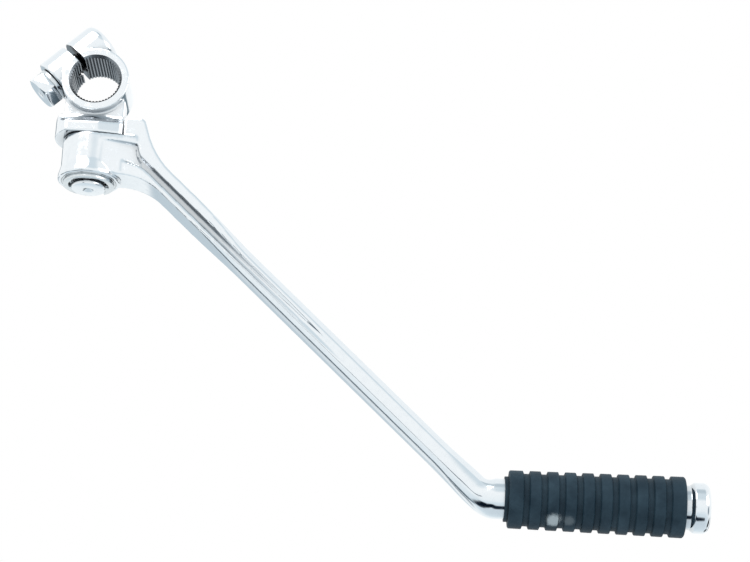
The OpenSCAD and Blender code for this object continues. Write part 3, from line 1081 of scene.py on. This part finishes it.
@dataclass
class PinchScrew:
    """Hexagon head screw across the slot, with its spring washer.

    The thread's crest and flank are shares of a pitch, where its depth starts and ends.
    """

    thread_r: float = 4.0
    pitch: float = 1.25
    depth_share: float = 0.61
    crest: float = 0.08
    flank: float = 0.45
    length: float = 24.0
    head_af: float = 13.0
    head_h: float = 5.3
    head_edge: float = 0.18
    facet: float = 0.2
    facet_rise: float = 0.55
    dish: float = 0.1
    dish_rim: float = 2.6
    washer_r: float = 6.9
    washer_t: float = 2.0
    washer_edge: float = 0.25
    washer_lift: float = 0.12
    gap_deg: float = 9.0
    gap_at_deg: float = 200.0
    ear_head: float = 11.2

    def head(self, place: Matrix) -> Object:
        """The hexagon with its turned corners.

        Args:
            place: The bolt's frame.

        Returns:
            The head.
        """
        seat = -self.ear_head - self.washer_t
        top, flat = seat - self.head_h, self.head_af / 2 - self.facet
        corner = self.head_af / 2 / math.cos(math.radians(30))
        rim = corner + 0.1
        hexagon = [polar(corner, math.radians(60 * k)) for k in range(6)]
        head = mesh_object("screw_head", prism(hexagon, top, seat, place))
        turned = [
            (corner - 0.25, seat), (rim, seat - 0.2), (rim, top + self.facet_rise * (rim - flat)),
            (flat, top), (flat - 0.8, top), (flat - self.dish_rim, top + self.dish),
        ]
        combine(head, lathe(turned, place), Op.KEEP)
        return break_edges(head, self.head_edge, 25)

    def shank(self, material: Material, place: Matrix) -> Object:
        """The rolled thread below the head.

        Args:
            material: The screw's material.
            place: The bolt's frame.

        Returns:
            The threaded shank.
        """
        rows_per_mm = 9
        recipe = Recipe("rolled_thread", {
            "Radius": self.thread_r * MM, "Depth": self.depth_share * self.pitch * MM,
            "Pitch": self.pitch * MM, "Length": self.length * MM,
            "Rows": int(self.length * rows_per_mm),
        })
        tree, given = recipe.tree, recipe.given
        grid = add(tree, "GeometryNodeMeshGrid", {
            "Size X": 1.0, "Size Y": 1.0, "Vertices X": given["Rows"], "Vertices Y": 49,
        })
        where = add(tree, "GeometryNodeInputPosition")
        split = add(tree, "ShaderNodeSeparateXYZ", [where])
        along = add(tree, MAP_RANGE, {
            "Value": split.outputs["X"], "From Min": -0.5, "From Max": 0.5, "To Min": 0.0,
            "To Max": given["Length"],
        }, clamp=False)
        turns = add(tree, MATH, [along, given["Pitch"]], operation="DIVIDE")
        phase = add(tree, MATH, [turns, split.outputs["Y"]], operation="SUBTRACT")
        flank = add(tree, MATH, [phase, 0.5], operation="PINGPONG")
        cut = add(tree, MAP_RANGE, {
            "Value": flank, "From Min": self.crest, "From Max": self.flank, "To Min": 0.0,
            "To Max": given["Depth"],
        })
        radius = add(tree, MATH, [given["Radius"], cut], operation="SUBTRACT")
        angle = add(tree, MATH, [split.outputs["Y"], 2 * math.pi], operation="MULTIPLY")
        cosine = add(tree, MATH, [angle], operation="COSINE")
        sine = add(tree, MATH, [angle], operation="SINE")
        across = add(tree, MATH, [cosine, radius], operation="MULTIPLY")
        up = add(tree, MATH, [sine, radius], operation="MULTIPLY")
        point = add(tree, "ShaderNodeCombineXYZ", {"X": across, "Y": up, "Z": along})
        rolled = add(tree, "GeometryNodeSetPosition", {"Geometry": grid, "Position": point})
        shank = recipe.grow("screw_thread", rolled, material)
        start = Matrix.Translation((0, 0, (-self.ear_head - self.washer_t) * MM))
        frame = Matrix.Translation(place.translation * MM) @ place.to_3x3().to_4x4()
        with editing(shank.data) as shape:
            bmesh.ops.holes_fill(shape, edges=[e for e in shape.edges if e.is_boundary])
            bmesh.ops.recalc_face_normals(shape, faces=shape.faces)
            shape.transform(frame @ start)
        return shank

    def washer(self, place: Matrix) -> Object:
        """The spring washer: a split ring whose ends stand a little apart.

        Args:
            place: The bolt's frame.

        Returns:
            The washer.
        """
        inner, steps = self.thread_r + 0.15, 96
        edge, lift = self.washer_edge, self.washer_lift
        begin, sweep = self.gap_at_deg + self.gap_deg / 2, 360 - self.gap_deg
        low, high = -self.ear_head - self.washer_t + lift, -self.ear_head - lift
        section = rounded([
            (inner, low, edge), (self.washer_r, low, edge), (self.washer_r, high, edge),
            (inner, high, edge),
        ], 3)
        rings: list[Ring] = []
        for k in range(steps + 1):
            turn = k / steps
            c, s = polar(1, math.radians(begin + sweep * turn))
            drop = lift * (2 * turn - 1)
            rings.append([place @ Vector((r * c, r * s, z + drop)) for r, z in section])
        return mesh_object("spring_washer", loft(rings))

    def build(self, place: Matrix, chrome: Material, dark: Material, zinc: Material) -> None:
        """Makes and dresses the screw and its washer.

        Args:
            place: The bolt's frame.
            chrome: The head's material.
            dark: The thread's material.
            zinc: The washer's material.
        """
        dress(self.head(place), chrome, Body.HUB, ["pinch_bolt"])
        dress(self.shank(dark, place), dark, Body.HUB)
        dress(self.washer(place), zinc, Body.HUB, ["lock_washer"])


@dataclass
class KickArm:
    """The forged arm: barrel, stop lug, hollowed root, chamfered bar, elbow and peg."""

    barrel_top: float = -23.6
    barrel_end: float = -41.0
    barrel_r: float = 11.7
    barrel_edge: float = 0.7
    rim_r: float = 12.4
    rim_h: float = 2.6
    rim_edge: float = 0.5
    rim_round: float = 1.2
    flare_round: float = 6.0
    waist: float = 0.15
    bore_r: float = 6.8
    recess_r: float = 10.9
    recess_h: float = 1.2
    root_t: float = 15.0
    web_t: float = 9.0
    scoop_start: float = 5.0
    scoop_end: float = 21.0
    lug_x: float = 12.8
    lug_top: float = -15.4
    lug_w: float = 8.2
    lug_lean_deg: float = 18.0
    lug_inner: float = 0.8
    lug_outer: float = 2.2
    shoulder_r: float = 38.0
    heel_r: float = 25.0
    heel_h: float = 1.4
    wall_w: float = 6.1
    floor_h: float = 6.2
    arm_deg: float = 43.0
    elbow_x: float = 160.0
    peg_z: float = -162.299
    elbow_r: float = 12.0
    root_x: float = 44.4
    bar_w: float = 9.0
    bar_t: float = 12.5
    bar_top: float = 2.4
    bar_low: float = 1.9
    side_top: float = 2.6
    side_low: float = 1.6
    lane_top: float = 0.5
    lane_low: float = -2.4
    groove_end: float = 96.0
    blend_len: float = 30.0
    thin_len: float = 28.0
    edge_start: float = 0.12
    lean_start: float = 0.05
    lean_end: float = 0.6
    flange: float = 2.7
    peg_r: float = 7.7
    peg_end_r: float = 8.4
    reach: float = 245.3
    head_t: float = 6.6
    head_r: float = 9.6
    head_edge: float = 1.0
    head_round: float = 2.6
    neck_round: float = 0.6
    flare: float = 0.75
    voxel: float = 0.41
    rounds: int = 5

    @property
    def slope(self) -> Vector:
        """Direction of the bar in the front view."""
        angle = math.radians(self.arm_deg)
        return Vector((math.cos(angle), -math.sin(angle)))

    @property
    def rise(self) -> Vector:
        """Direction across the bar in the front view."""
        angle = math.radians(self.arm_deg)
        return Vector((math.sin(angle), math.cos(angle)))

    @property
    def elbow_tan(self) -> float:
        """Length from the elbow's corner to where its curve leaves the bar."""
        return self.elbow_r * math.tan(math.radians(self.arm_deg) / 2)

    @property
    def root_len(self) -> float:
        """Length of the bar from the root to the elbow."""
        return (self.elbow_x - self.root_x) / math.cos(math.radians(self.arm_deg))

    def bar_point(self, back: float, up: float) -> Vector:
        """A point of the front view, back from the elbow and up above the bar's middle line."""
        return Vector((self.elbow_x, self.peg_z)) - self.slope * back + self.rise * up

    def meet(self, start: Point2, along: Vector, up: float) -> Vector:
        """Where a line of the front view meets the bar's line at the height up."""
        p = Vector(start)
        return p + along * ((self.bar_point(0, up) - p).dot(self.rise) / along.dot(self.rise))

    def root(self) -> Object:
        """The lug, shoulder and sweep, hollowed on both sides, with the wide upper flange.

        Returns:
            The root.
        """
        lean = math.radians(self.lug_lean_deg)
        outer = (self.lug_x + self.lug_w, self.lug_top)
        low = self.barrel_end + self.heel_h
        end = self.root_len - 1.3
        half = self.bar_w / 2
        shoulder = self.meet(outer, Vector((math.sin(lean), -math.cos(lean))), half)
        heel = self.meet((0, low), Vector((1, 0)), -half)
        outline = [
            (0, self.barrel_top), (self.lug_x, self.barrel_top),
            (self.lug_x, self.lug_top, self.lug_inner), (*outer, self.lug_outer),
            (*shoulder, self.shoulder_r), self.bar_point(end, half), self.bar_point(end, -half),
            (*heel, self.heel_r), (0, low),
        ]
        wall_top = self.lug_x + self.wall_w
        roof = self.barrel_top - self.flange
        floor = low + self.floor_h
        across = Vector((0, 1))
        upper = self.meet((wall_top + 1.1, 0), across, self.lane_top)
        lower = self.meet((wall_top + 2.6, 0), across, self.lane_low)
        hollow = [
            (0, roof), (wall_top, roof, 1), (*upper, 6), self.bar_point(end - 1, self.lane_top),
            self.bar_point(end - 1, self.lane_low), (*lower, 12), (self.barrel_r + 0.5, floor, 8),
            (0, floor),
        ]
        side = self.root_t / 2
        root = mesh_object("root", prism(outline, -side, side, ALONG_BORE, 24))
        for sign in (-1, 1):
            near, far = sorted((sign * self.web_t / 2, sign * self.root_t))
            combine(root, prism(hollow, near, far, ALONG_BORE, 16), Op.CUT)
        wide = [(0.0, self.barrel_r - 0.2), (self.lug_x, side + 2.1), (wall_top + 1.1, side - 0.5)]
        plan = wide + [(x, -y) for x, y in reversed(wide)]
        combine(root, prism(plan, roof, self.barrel_top, UPRIGHT), Op.JOIN)
        side = math.sqrt(self.barrel_r**2 - self.scoop_start**2)
        slant = [(self.scoop_start, side), (self.scoop_end, self.web_t / 2 - 0.1)]
        plan = [(0.0, 0.0)] + slant + [(x, -y) for x, y in reversed(slant)]
        top = self.barrel_top - self.flange / 2
        return combine(root, prism(plan, low + 0.2, top, UPRIGHT), Op.JOIN)

    def section(self, back: float, roundness: float) -> list[Point2]:
        """The bar's section, up and side, a distance back from the elbow.

        Args:
            back: Distance before the elbow.
            roundness: 0 for the bar's own form, 1 for the round peg.

        Returns:
            The section's points, down the front and up the back.
        """
        gone = self.root_len - back
        thick = mix(self.root_t, self.bar_t, ease(gone / self.thin_len))
        edge = mix(self.edge_start, 1, ease(gone / self.blend_len))
        groove = (thick - self.web_t) / 2 * (1 - ease(gone / self.groove_end))
        lean = mix(self.lean_start, self.lean_end, ease(gone / self.blend_len))
        half, side = self.bar_w / 2, thick / 2
        flat = [
            (half + lean / 2, 0.0), (half, side - self.side_top * edge),
            (half - self.bar_top * edge, side), (self.lane_top, side),
            (self.lane_top - lean, side - groove), (self.lane_low + lean, side - groove),
            (self.lane_low, side), (-half + self.bar_low * edge, side),
            (-half, side - self.side_low * edge), (-half - lean / 2, 0.0),
        ]
        angles = (0, 32, 56, 76, 84, 96, 104, 128, 152, 180)
        parts = 6
        front: list[Point2] = []
        for k, (a, b) in enumerate(zip(flat, flat[1:])):
            for i in range(parts):
                t = i / parts
                turn = math.radians(mix(angles[k], angles[k + 1], t))
                ring = polar(self.peg_r, turn)
                up = mix(mix(a[0], b[0], t), ring[0], roundness)
                front.append((up, -mix(mix(a[1], b[1], t), ring[1], roundness)))
        last = mix(flat[-1][0], -self.peg_r, roundness)
        return front + [(last, 0.0)] + [(up, -side) for up, side in reversed(front[1:])]

    def bar(self) -> BMesh:
        """The bar and the elbow, from inside the root to inside the peg.

        Returns:
            The shape.
        """
        begin = self.bar_point(self.elbow_tan, 0)
        stations: list[tuple[Vector, float, list[Point2]]] = []
        straight, bend, blend, start_round = 60, 24, 20.0, 0.3
        for i in range(-1, straight + 1):
            back = mix(self.root_len, self.elbow_tan, i / straight)
            form = start_round * ease(1 - (back - self.elbow_tan) / blend)
            stations.append((self.bar_point(back, 0), self.arm_deg, self.section(back, form)))
        for i in range(1, bend + 1):
            angle = self.arm_deg * (1 - i / bend)
            turned = Vector((math.sin(math.radians(angle)), math.cos(math.radians(angle))))
            centre = begin + (self.rise - turned) * self.elbow_r
            form = mix(start_round, 1, ease(i / bend))
            stations.append((centre, angle, self.section(0, form)))
        peg_start = self.elbow_x + self.elbow_tan
        for x in (peg_start + 3, peg_start + 9):
            stations.append((Vector((x, self.peg_z)), 0.0, self.section(0, 1)))
        rings: list[Ring] = []
        for centre, angle, form in stations:
            c, s = polar(1, math.radians(angle))
            rings.append(
                [Vector((centre.x + up * s, side, centre.y + up * c)) for up, side in form]
            )
        return loft(rings)

    def barrel(self) -> BMesh:
        """The barrel with its flared rim.

        Returns:
            The shape.
        """
        foot = self.barrel_end
        return lathe([
            (self.barrel_r, self.barrel_top, self.barrel_edge),
            (self.barrel_r - self.waist, foot + 2.2 * self.rim_h, self.flare_round),
            (self.rim_r, foot + 0.7 * self.rim_h, self.rim_round),
            (self.rim_r, foot, self.rim_edge),
        ], UPRIGHT)

    def peg(self) -> Object:
        """The tapered peg and its mushroom head.

        The head's underside is a steep cone, which mirrors the dark end of the sleeve.

        Returns:
            The peg.
        """
        start = self.elbow_x + self.elbow_tan + 4
        neck = self.reach - self.head_t
        profile = [
            (self.radius(start) + 0.02, start),
            (self.radius(neck), neck - self.flare, self.neck_round),
            (self.head_r, neck + self.flare, self.head_edge),
            (self.head_r, self.reach, self.head_round),
        ]
        place = Matrix.Translation((0, 0, self.peg_z)) @ ALONG_PEG
        return mesh_object("pedal_peg", lathe(profile, place, 160, 14))

    def radius(self, x: float) -> float:
        """Radius of the peg at a distance x from the pivot."""
        start = self.elbow_x + self.elbow_tan
        return mix(self.peg_r, self.peg_end_r, (x - start) / (self.reach - self.head_t - start))

    def build(self, chrome: Material) -> None:
        """Makes and dresses the arm and its peg.

        Args:
            chrome: The plate.
        """
        root = self.root()
        arm = mesh_object("kick_arm_forging", self.barrel())
        absorb(arm, mesh_object("bar", self.bar()))
        absorb(arm, root)
        forge(arm, self.voxel, self.rounds)
        step = self.barrel_end + self.recess_h
        bores = [
            (self.recess_r, self.barrel_end - 1), (self.recess_r, step), (self.bore_r, step),
            (self.bore_r, self.barrel_top + 1),
        ]
        combine(arm, lathe(bores, UPRIGHT), Op.CUT)
        dress(arm, chrome, Body.ARM, ["kick_arm"])
        dress(self.peg(), chrome, Body.ARM)


def mix(a: float, b: float, t: float) -> float:
    """A value between a and b."""
    return a + (b - a) * t


def ease(t: float) -> float:
    """A smooth step from 0 to 1."""
    u = min(max(t, 0.0), 1.0)
    return u * u * (3 - 2 * u)


@dataclass
class PedalSleeve:
    """The moulded rubber sleeve on the peg, with its ribs and thin lip."""

    length: float = 66.4
    bare: float = 2.9
    ribs: int = 10
    end_rib: float = 5.3
    rib_gap: float = 2.6
    rib_depth: float = 1.1
    groove_floor: float = 0.34
    groove_brim: float = 0.56
    crown: float = 0.6
    wall: float = 3.2
    lip: float = 1.5
    lip_wall: float = 0.85
    clearance: float = 0.1

    def moulded(self, arm: KickArm, rubber: Material) -> Object:
        """Turns the sleeve's ribbed section round the peg.

        Args:
            arm: The arm with the peg.
            rubber: The sleeve's material.

        Returns:
            The sleeve, open where the section's two ends meet.
        """
        end = arm.reach - arm.head_t - self.bare
        start = end - self.length
        rib = (self.length - 2 * self.end_rib - (self.ribs - 1) * self.rib_gap) / (self.ribs - 2)
        pitch = rib + self.rib_gap
        recipe = Recipe("ribbed_sleeve", {
            "Start": start * MM, "End": end * MM, "Start Radius": arm.radius(start) * MM,
            "End Radius": arm.radius(end) * MM, "Wall": self.wall * MM, "Lip": self.lip * MM,
            "Lip Wall": self.lip_wall * MM, "Clearance": self.clearance * MM,
            "First Gap": (start + self.end_rib + self.rib_gap / 2) * MM, "Pitch": pitch * MM,
            "Gap Share": self.rib_gap / pitch, "Depth": self.rib_depth * MM,
            "Last Gap": self.ribs - 2, "Height": arm.peg_z * MM,
        })
        tree, given = recipe.tree, recipe.given
        crown, turn_back, row = self.crown * MM, 0.4, 0.002
        grid = add(tree, "GeometryNodeMeshGrid", {
            "Size X": 1.0, "Size Y": 1.0, "Vertices X": 521, "Vertices Y": 145,
        })
        where = add(tree, "GeometryNodeInputPosition")
        split = add(tree, "ShaderNodeSeparateXYZ", [where])
        lip_start = add(tree, MATH, [given["Start"], given["Lip"]], operation="SUBTRACT")
        outer_x = add(tree, MAP_RANGE, {
            "Value": split.outputs["X"], "From Min": -0.5, "From Max": turn_back,
            "To Min": lip_start, "To Max": given["End"],
        })
        inner_x = add(tree, MAP_RANGE, {
            "Value": split.outputs["X"], "From Min": turn_back + row, "From Max": 0.5,
            "To Min": given["End"], "To Max": lip_start,
        })
        inside = add(tree, MATH, [
            split.outputs["X"], turn_back + row / 2,
        ], operation="GREATER_THAN")
        x = add(tree, MIX, {"Factor": inside, "A": outer_x, "B": inner_x}, data_type="FLOAT")
        peg = add(tree, MAP_RANGE, {
            "Value": x, "From Min": given["Start"], "From Max": given["End"],
            "To Min": given["Start Radius"], "To Max": given["End Radius"],
        }, clamp=False)
        away = add(tree, MATH, [x, given["First Gap"]], operation="SUBTRACT")
        pitches = add(tree, MATH, [away, given["Pitch"]], operation="DIVIDE")
        near = add(tree, MATH, [pitches], operation="ROUND")
        gap = add(tree, "ShaderNodeClamp", {"Value": near, "Min": 0.0, "Max": given["Last Gap"]})
        off = add(tree, MATH, [pitches, gap], operation="SUBTRACT")
        distance = add(tree, MATH, [off], operation="ABSOLUTE")
        bottom = add(tree, MATH, [given["Gap Share"], self.groove_floor], operation="MULTIPLY")
        brim = add(tree, MATH, [given["Gap Share"], self.groove_brim], operation="MULTIPLY")
        cut = add(tree, MAP_RANGE, {
            "Value": distance, "From Min": bottom, "From Max": brim, "To Min": given["Depth"],
            "To Max": 0.0,
        }, interpolation_type="SMOOTHSTEP")
        from_start = add(tree, MATH, [x, given["Start"]], operation="SUBTRACT")
        from_end = add(tree, MATH, [given["End"], x], operation="SUBTRACT")
        rim = add(tree, MATH, [from_start, from_end], operation="MINIMUM")
        soft = add(tree, MAP_RANGE, {
            "Value": rim, "From Min": -crown / 2, "From Max": crown, "To Min": crown, "To Max": 0.0,
        }, interpolation_type="SMOOTHSTEP")
        loss = add(tree, MATH, [cut, soft], operation="ADD")
        ribbed = add(tree, MATH, [given["Wall"], loss], operation="SUBTRACT")
        on_lip = add(tree, MATH, [from_start, 0.0], operation="LESS_THAN")
        outer = add(tree, MIX, {
            "Factor": on_lip, "A": ribbed, "B": given["Lip Wall"],
        }, data_type="FLOAT")
        wall = add(tree, MIX, {
            "Factor": inside, "A": outer, "B": given["Clearance"],
        }, data_type="FLOAT")
        radius = add(tree, MATH, [peg, wall], operation="ADD")
        angle = add(tree, MATH, [split.outputs["Y"], 2 * math.pi], operation="MULTIPLY")
        cosine = add(tree, MATH, [angle], operation="COSINE")
        sine = add(tree, MATH, [angle], operation="SINE")
        y = add(tree, MATH, [cosine, radius], operation="MULTIPLY")
        z = add(tree, MATH, [sine, radius, given["Height"]], operation="MULTIPLY_ADD")
        point = add(tree, "ShaderNodeCombineXYZ", {"X": x, "Y": y, "Z": z})
        placed = add(tree, "GeometryNodeSetPosition", {"Geometry": grid, "Position": point})
        return recipe.grow("pedal_sleeve", placed, rubber)

    def build(self, arm: KickArm, rubber: Material) -> None:
        """Makes, closes and dresses the sleeve.

        Args:
            arm: The arm with the peg.
            rubber: The sleeve's material.
        """
        sleeve = self.moulded(arm, rubber)
        with editing(sleeve.data) as shape:
            bmesh.ops.bridge_loops(shape, edges=[e for e in shape.edges if e.is_boundary])
            bmesh.ops.recalc_face_normals(shape, faces=shape.faces)
        dress(sleeve, rubber, Body.ARM, ["grip_rubber"])


@dataclass
class Retainer:
    """What holds the arm on its pivot: the thrust washer and the sprung clip below it."""

    bevel_mm: float = 0.12

    def stamped(self, frame: dict, node: str, name: str) -> Object:
        """A stamped piece with its edges broken.

        Args:
            frame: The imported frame.
            node: The CAD node that it follows.
            name: The piece's name.

        Returns:
            The piece.
        """
        piece = new_object(name, bpy.data.meshes.new(name))
        with editing(piece.data) as shape:
            shape.from_mesh(frame["nodes"][node].data)
            bmesh.ops.remove_doubles(shape, verts=shape.verts, dist=1e-7)
            bmesh.ops.dissolve_limit(
                shape, angle_limit=math.radians(1), verts=shape.verts, edges=shape.edges
            )
        return break_edges(piece, self.bevel_mm, 40)

    def build(self, frame: dict, zinc: Material) -> None:
        """Makes and dresses the washer and the clip.

        Args:
            frame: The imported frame.
            zinc: Their material.
        """
        washer = self.stamped(frame, "pivot_washer", "thrust_washer")
        dress(washer, zinc, Body.HUB, ["pivot_washer"])
        clip = self.stamped(frame, "retaining_clip", "sprung_clip")
        dress(clip, zinc, Body.HUB, ["retaining_clip"])


@dataclass
class Detent:
    """The sprung ball that holds the arm at each end of its swing."""

    wire_r: float = 0.3
    turns: float = 3.5

    def coil(self, steel: Material) -> Object:
        """The small compression spring.

        Args:
            steel: The wire's material.

        Returns:
            The spring.
        """
        low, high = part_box("detent_spring")
        wire_m = self.wire_r * MM
        recipe = Recipe("wound_wire", {
            "Turns": self.turns, "Coil Radius": (high.x - low.x) / 2 - wire_m,
            "Wire Radius": wire_m, "Height": high.z - low.z - 2 * wire_m,
            "Foot": Vector(((low.x + high.x) / 2, (low.y + high.y) / 2, low.z + wire_m)),
        })
        tree, given = recipe.tree, recipe.given
        spiral = add(tree, "GeometryNodeCurveSpiral", {
            "Resolution": 40, "Rotations": given["Turns"], "Start Radius": given["Coil Radius"],
            "End Radius": given["Coil Radius"], "Height": given["Height"],
        })
        wire = add(tree, "GeometryNodeCurvePrimitiveCircle", {
            "Resolution": 12, "Radius": given["Wire Radius"],
        })
        swept = add(tree, "GeometryNodeCurveToMesh", {
            "Curve": spiral, "Profile Curve": wire, "Fill Caps": True,
        })
        stood = add(tree, "GeometryNodeTransform", {
            "Geometry": swept, "Translation": given["Foot"],
        })
        return recipe.grow("detent_coil", stood, steel)

    def build(self, frame: dict, dark: Material, bright: Material) -> None:
        """Makes and dresses the spring, and gives the ball its steel.

        Args:
            frame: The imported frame.
            dark: The spring's material.
            bright: The ball's material.
        """
        dress(self.coil(dark), dark, Body.HUB, ["detent_spring"])
        ball = frame["nodes"]["detent_ball"]
        ball.data.materials.clear()
        ball.data.materials.append(bright)
        LOG.info("detent_ball keeps its CAD shape")


@dataclass(frozen=True)
class Flag:
    """A dark soft-edged patch of the room, as polished metal sees it."""

    towards: tuple[float, float, float]
    inner_deg: float
    outer_deg: float
    tone: str


@dataclass
class Studio:
    """Camera, lamps, white surroundings and floor."""

    azimuth_deg: float = 0.277
    elevation_deg: float = -20.571
    roll_deg: float = 2.79
    distance_mm: float = 903.4
    target_mm: tuple[float, float, float] = (115.28, 0.0, -76.85)
    focal_px: float = 2311.4
    frame_px: int = 750
    sensor_mm: float = 36.0
    floor_mm: float = -600.0
    floor_t_mm: float = 20.0
    floor_reach_mm: float = 4000.0
    clip_m: tuple[float, float] = (0.05, 50.0)
    pale: str = "F4F5F6"
    fill_tone: str = "F0F4F8"
    glossy_gain: float = 1.06
    tones: tuple[tuple[float, str], ...] = (
        (0.0, "CFDBE2"),
        (0.16, "DCE8EE"),
        (0.27, "F2F8FA"),
        (0.5, "F8FCFD"),
        (0.72, "FDFFFF"),
        (1.0, "F4F9FB"),
    )
    flags: tuple[Flag, ...] = (
        Flag((-0.55, -0.17, -0.82), 5, 15, "16222F"),
        Flag((-0.41, -0.38, -0.83), 8, 17, "0A1420"),
        Flag((-0.16, -0.50, -0.85), 7, 14, "0A1420"),
        Flag((0.06, -0.40, -0.92), 5, 14, "16222F"),
        Flag((-0.45, -0.87, -0.14), 3, 8, "5E6B76"),
        Flag((-0.42, 0.84, 0.35), 4, 10, "8A979F"),
        Flag((-0.34, 0.935, 0.08), 6, 14, "C6D4DC"),
        Flag((-0.56, 0.79, -0.24), 5, 12, "8A98A2"),
        Flag((-0.76, 0.44, -0.46), 6, 12, "0A1016"),
        Flag((0.43, 0.89, 0.08), 6, 9, "75868F"),
        Flag((0.78, 0.45, -0.43), 9, 18, "0C0F12"),
        Flag((0.42, 0.76, -0.46), 6, 13, "1A242C"),
        Flag((0.92, -0.34, -0.20), 4, 20, "8B98A1"),
        Flag((-0.79, 0.11, -0.59), 9, 16, "75858F"),
        Flag((0.12, -0.42, 0.90), 4, 22, "C6D3DA"),
        Flag((0.20, -0.75, 0.62), 4, 24, "DDE9EF"),
    )

    def camera(self) -> None:
        """Places the camera as the photograph was taken."""
        azimuth, elevation, roll = (
            math.radians(v) for v in (self.azimuth_deg, self.elevation_deg, self.roll_deg)
        )
        flat = math.cos(elevation)
        back = Vector((math.sin(azimuth) * flat, -math.cos(azimuth) * flat, math.sin(elevation)))
        right = (-back).cross(Vector((0, 0, 1))).normalized()
        up = right.cross(-back)
        across = math.cos(roll) * right + math.sin(roll) * up
        above = math.cos(roll) * up - math.sin(roll) * right
        data = bpy.data.cameras.new("camera")
        data.sensor_width = self.sensor_mm
        data.lens = self.focal_px * self.sensor_mm / self.frame_px
        data.clip_start, data.clip_end = self.clip_m
        camera = new_object("camera", data)
        place = (Vector(self.target_mm) + back * self.distance_mm) * MM
        turn = Matrix((across, above, back)).transposed()
        camera.matrix_world = Matrix.Translation(place) @ turn.to_4x4()
        bpy.context.scene.camera = camera

    def surroundings(self) -> None:
        """A white room, with the darker zones that polished metal picks up."""
        world = bpy.data.worlds.new("white_room")
        world.use_nodes = True
        tree = world.node_tree
        tree.nodes.clear()
        towards = add(tree, "ShaderNodeTexCoord").outputs["Generated"]
        split = add(tree, "ShaderNodeSeparateXYZ", [towards])
        height = add(tree, MAP_RANGE, {
            "Value": split.outputs["Z"], "From Min": -1.0, "From Max": 1.0,
        })
        ramp = add(tree, "ShaderNodeValToRGB", [height])
        marks = ramp.color_ramp.elements
        while len(marks) < len(self.tones):
            marks.new(0.5)
        for mark, (at, tone) in zip(marks, self.tones):
            mark.position = at
            mark.color = linear(tone)
        colour = add(tree, VECTOR_MATH, {0: ramp, "Scale": self.glossy_gain}, operation="SCALE")
        for flag in self.flags:
            facing = add(tree, VECTOR_MATH, [
                towards, Vector(flag.towards).normalized(),
            ], operation="DOT_PRODUCT")
            cover = add(tree, MAP_RANGE, {
                "Value": facing, "From Min": math.cos(math.radians(flag.outer_deg)),
                "From Max": math.cos(math.radians(flag.inner_deg)),
            }, interpolation_type="SMOOTHSTEP")
            colour = add(tree, MIX, {
                "Factor": cover, "A": colour, "B": linear(flag.tone),
            }, data_type="RGBA")
        path = add(tree, "ShaderNodeLightPath")
        seen = add(tree, MIX, {
            "Factor": path.outputs["Is Glossy Ray"], "A": linear(self.fill_tone), "B": colour,
        }, data_type="RGBA")
        shown = add(tree, MIX, {
            "Factor": path.outputs["Is Camera Ray"], "A": seen, "B": (1, 1, 1, 1),
        }, data_type="RGBA")
        back = add(tree, "ShaderNodeBackground", {"Color": shown, "Strength": 1.0})
        add(tree, "ShaderNodeOutputWorld", {"Surface": back})
        bpy.context.scene.world = world

    def lamps(self) -> None:
        """Two large soft boxes."""
        for name, place, size, power in (
            ("key_softbox", (-0.5, -0.9, 0.9), 0.9, 9.0),
            ("fill_softbox", (1.1, -0.7, 0.3), 0.8, 4.0),
        ):
            data = bpy.data.lights.new(name, "AREA")
            data.size = size
            data.energy = power
            look = (Vector(self.target_mm) * MM - Vector(place)).normalized()
            turn = look.to_track_quat("-Z", "Y").to_matrix().to_4x4()
            new_object(name, data).matrix_world = Matrix.Translation(place) @ turn

    def floor(self) -> None:
        """A plain pale floor below the lever."""
        reach, top = self.floor_reach_mm, self.floor_mm
        plate = [(-reach, -reach), (reach, -reach), (reach, reach), (-reach, reach)]
        floor = mesh_object("floor", prism(plate, top - self.floor_t_mm, top, UPRIGHT))
        material, tree = new_material("matt_paper_floor")
        shader = add(tree, PRINCIPLED, {"Base Color": linear(self.pale), "Roughness": 0.9})
        finish_surface(tree, shader)
        floor.data.materials.append(material)
        floor.visible_glossy = False

    def build(self) -> None:
        """Sets the whole studio up."""
        self.camera()
        self.surroundings()
        self.lamps()
        self.floor()
        bpy.context.scene.view_settings.view_transform = "Standard"


def main() -> None:
    """Builds the lever and its studio."""
    logging.basicConfig(level=logging.INFO, format="%(name)s: %(message)s")
    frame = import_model()
    Studio().build()
    chrome = BrightChrome().material()
    # The turned pieces, the screw head and the pivot pin, get deeper painted shade in the gaps round
    # them.
    turned = BrightChrome(
        name="chromium_plate_turned_steel", corner=Shade(3.2, 0.25, 0.72, 0.93)
    ).material()
    zinc = PlainSteel("zinc_plate_on_stamped_steel", "EAEDEE", "CCD1D5", 0.15).material()
    dark = PlainSteel("phosphated_spring_steel", "4A4C50", "2C2E31", 0.38).material()
    bright = PlainSteel("lapped_bearing_steel", "C8CACC", "B5B8BB", 0.08).material()
    knuckle, arm = Knuckle(), KickArm()
    scuffs = [
        (Vector((186.4, -5.8, arm.peg_z - 8.6)) * MM, 3.4, 0.8),
        (Vector((192.0, -5.8, arm.peg_z - 8.2)) * MM, 2.8, 0.18),
    ]
    rubber = MouldedRubber().material(scuffs)
    knuckle.build(BrightChrome().material(knuckle.bare_bore_shaded_slot), turned)
    PinchScrew().build(knuckle.bolt_frame, turned, dark, zinc)
    arm.build(chrome)
    PedalSleeve().build(arm, rubber)
    Retainer().build(frame, zinc)
    Detent().build(frame, dark, bright)


if __name__ == "__main__":
    main()
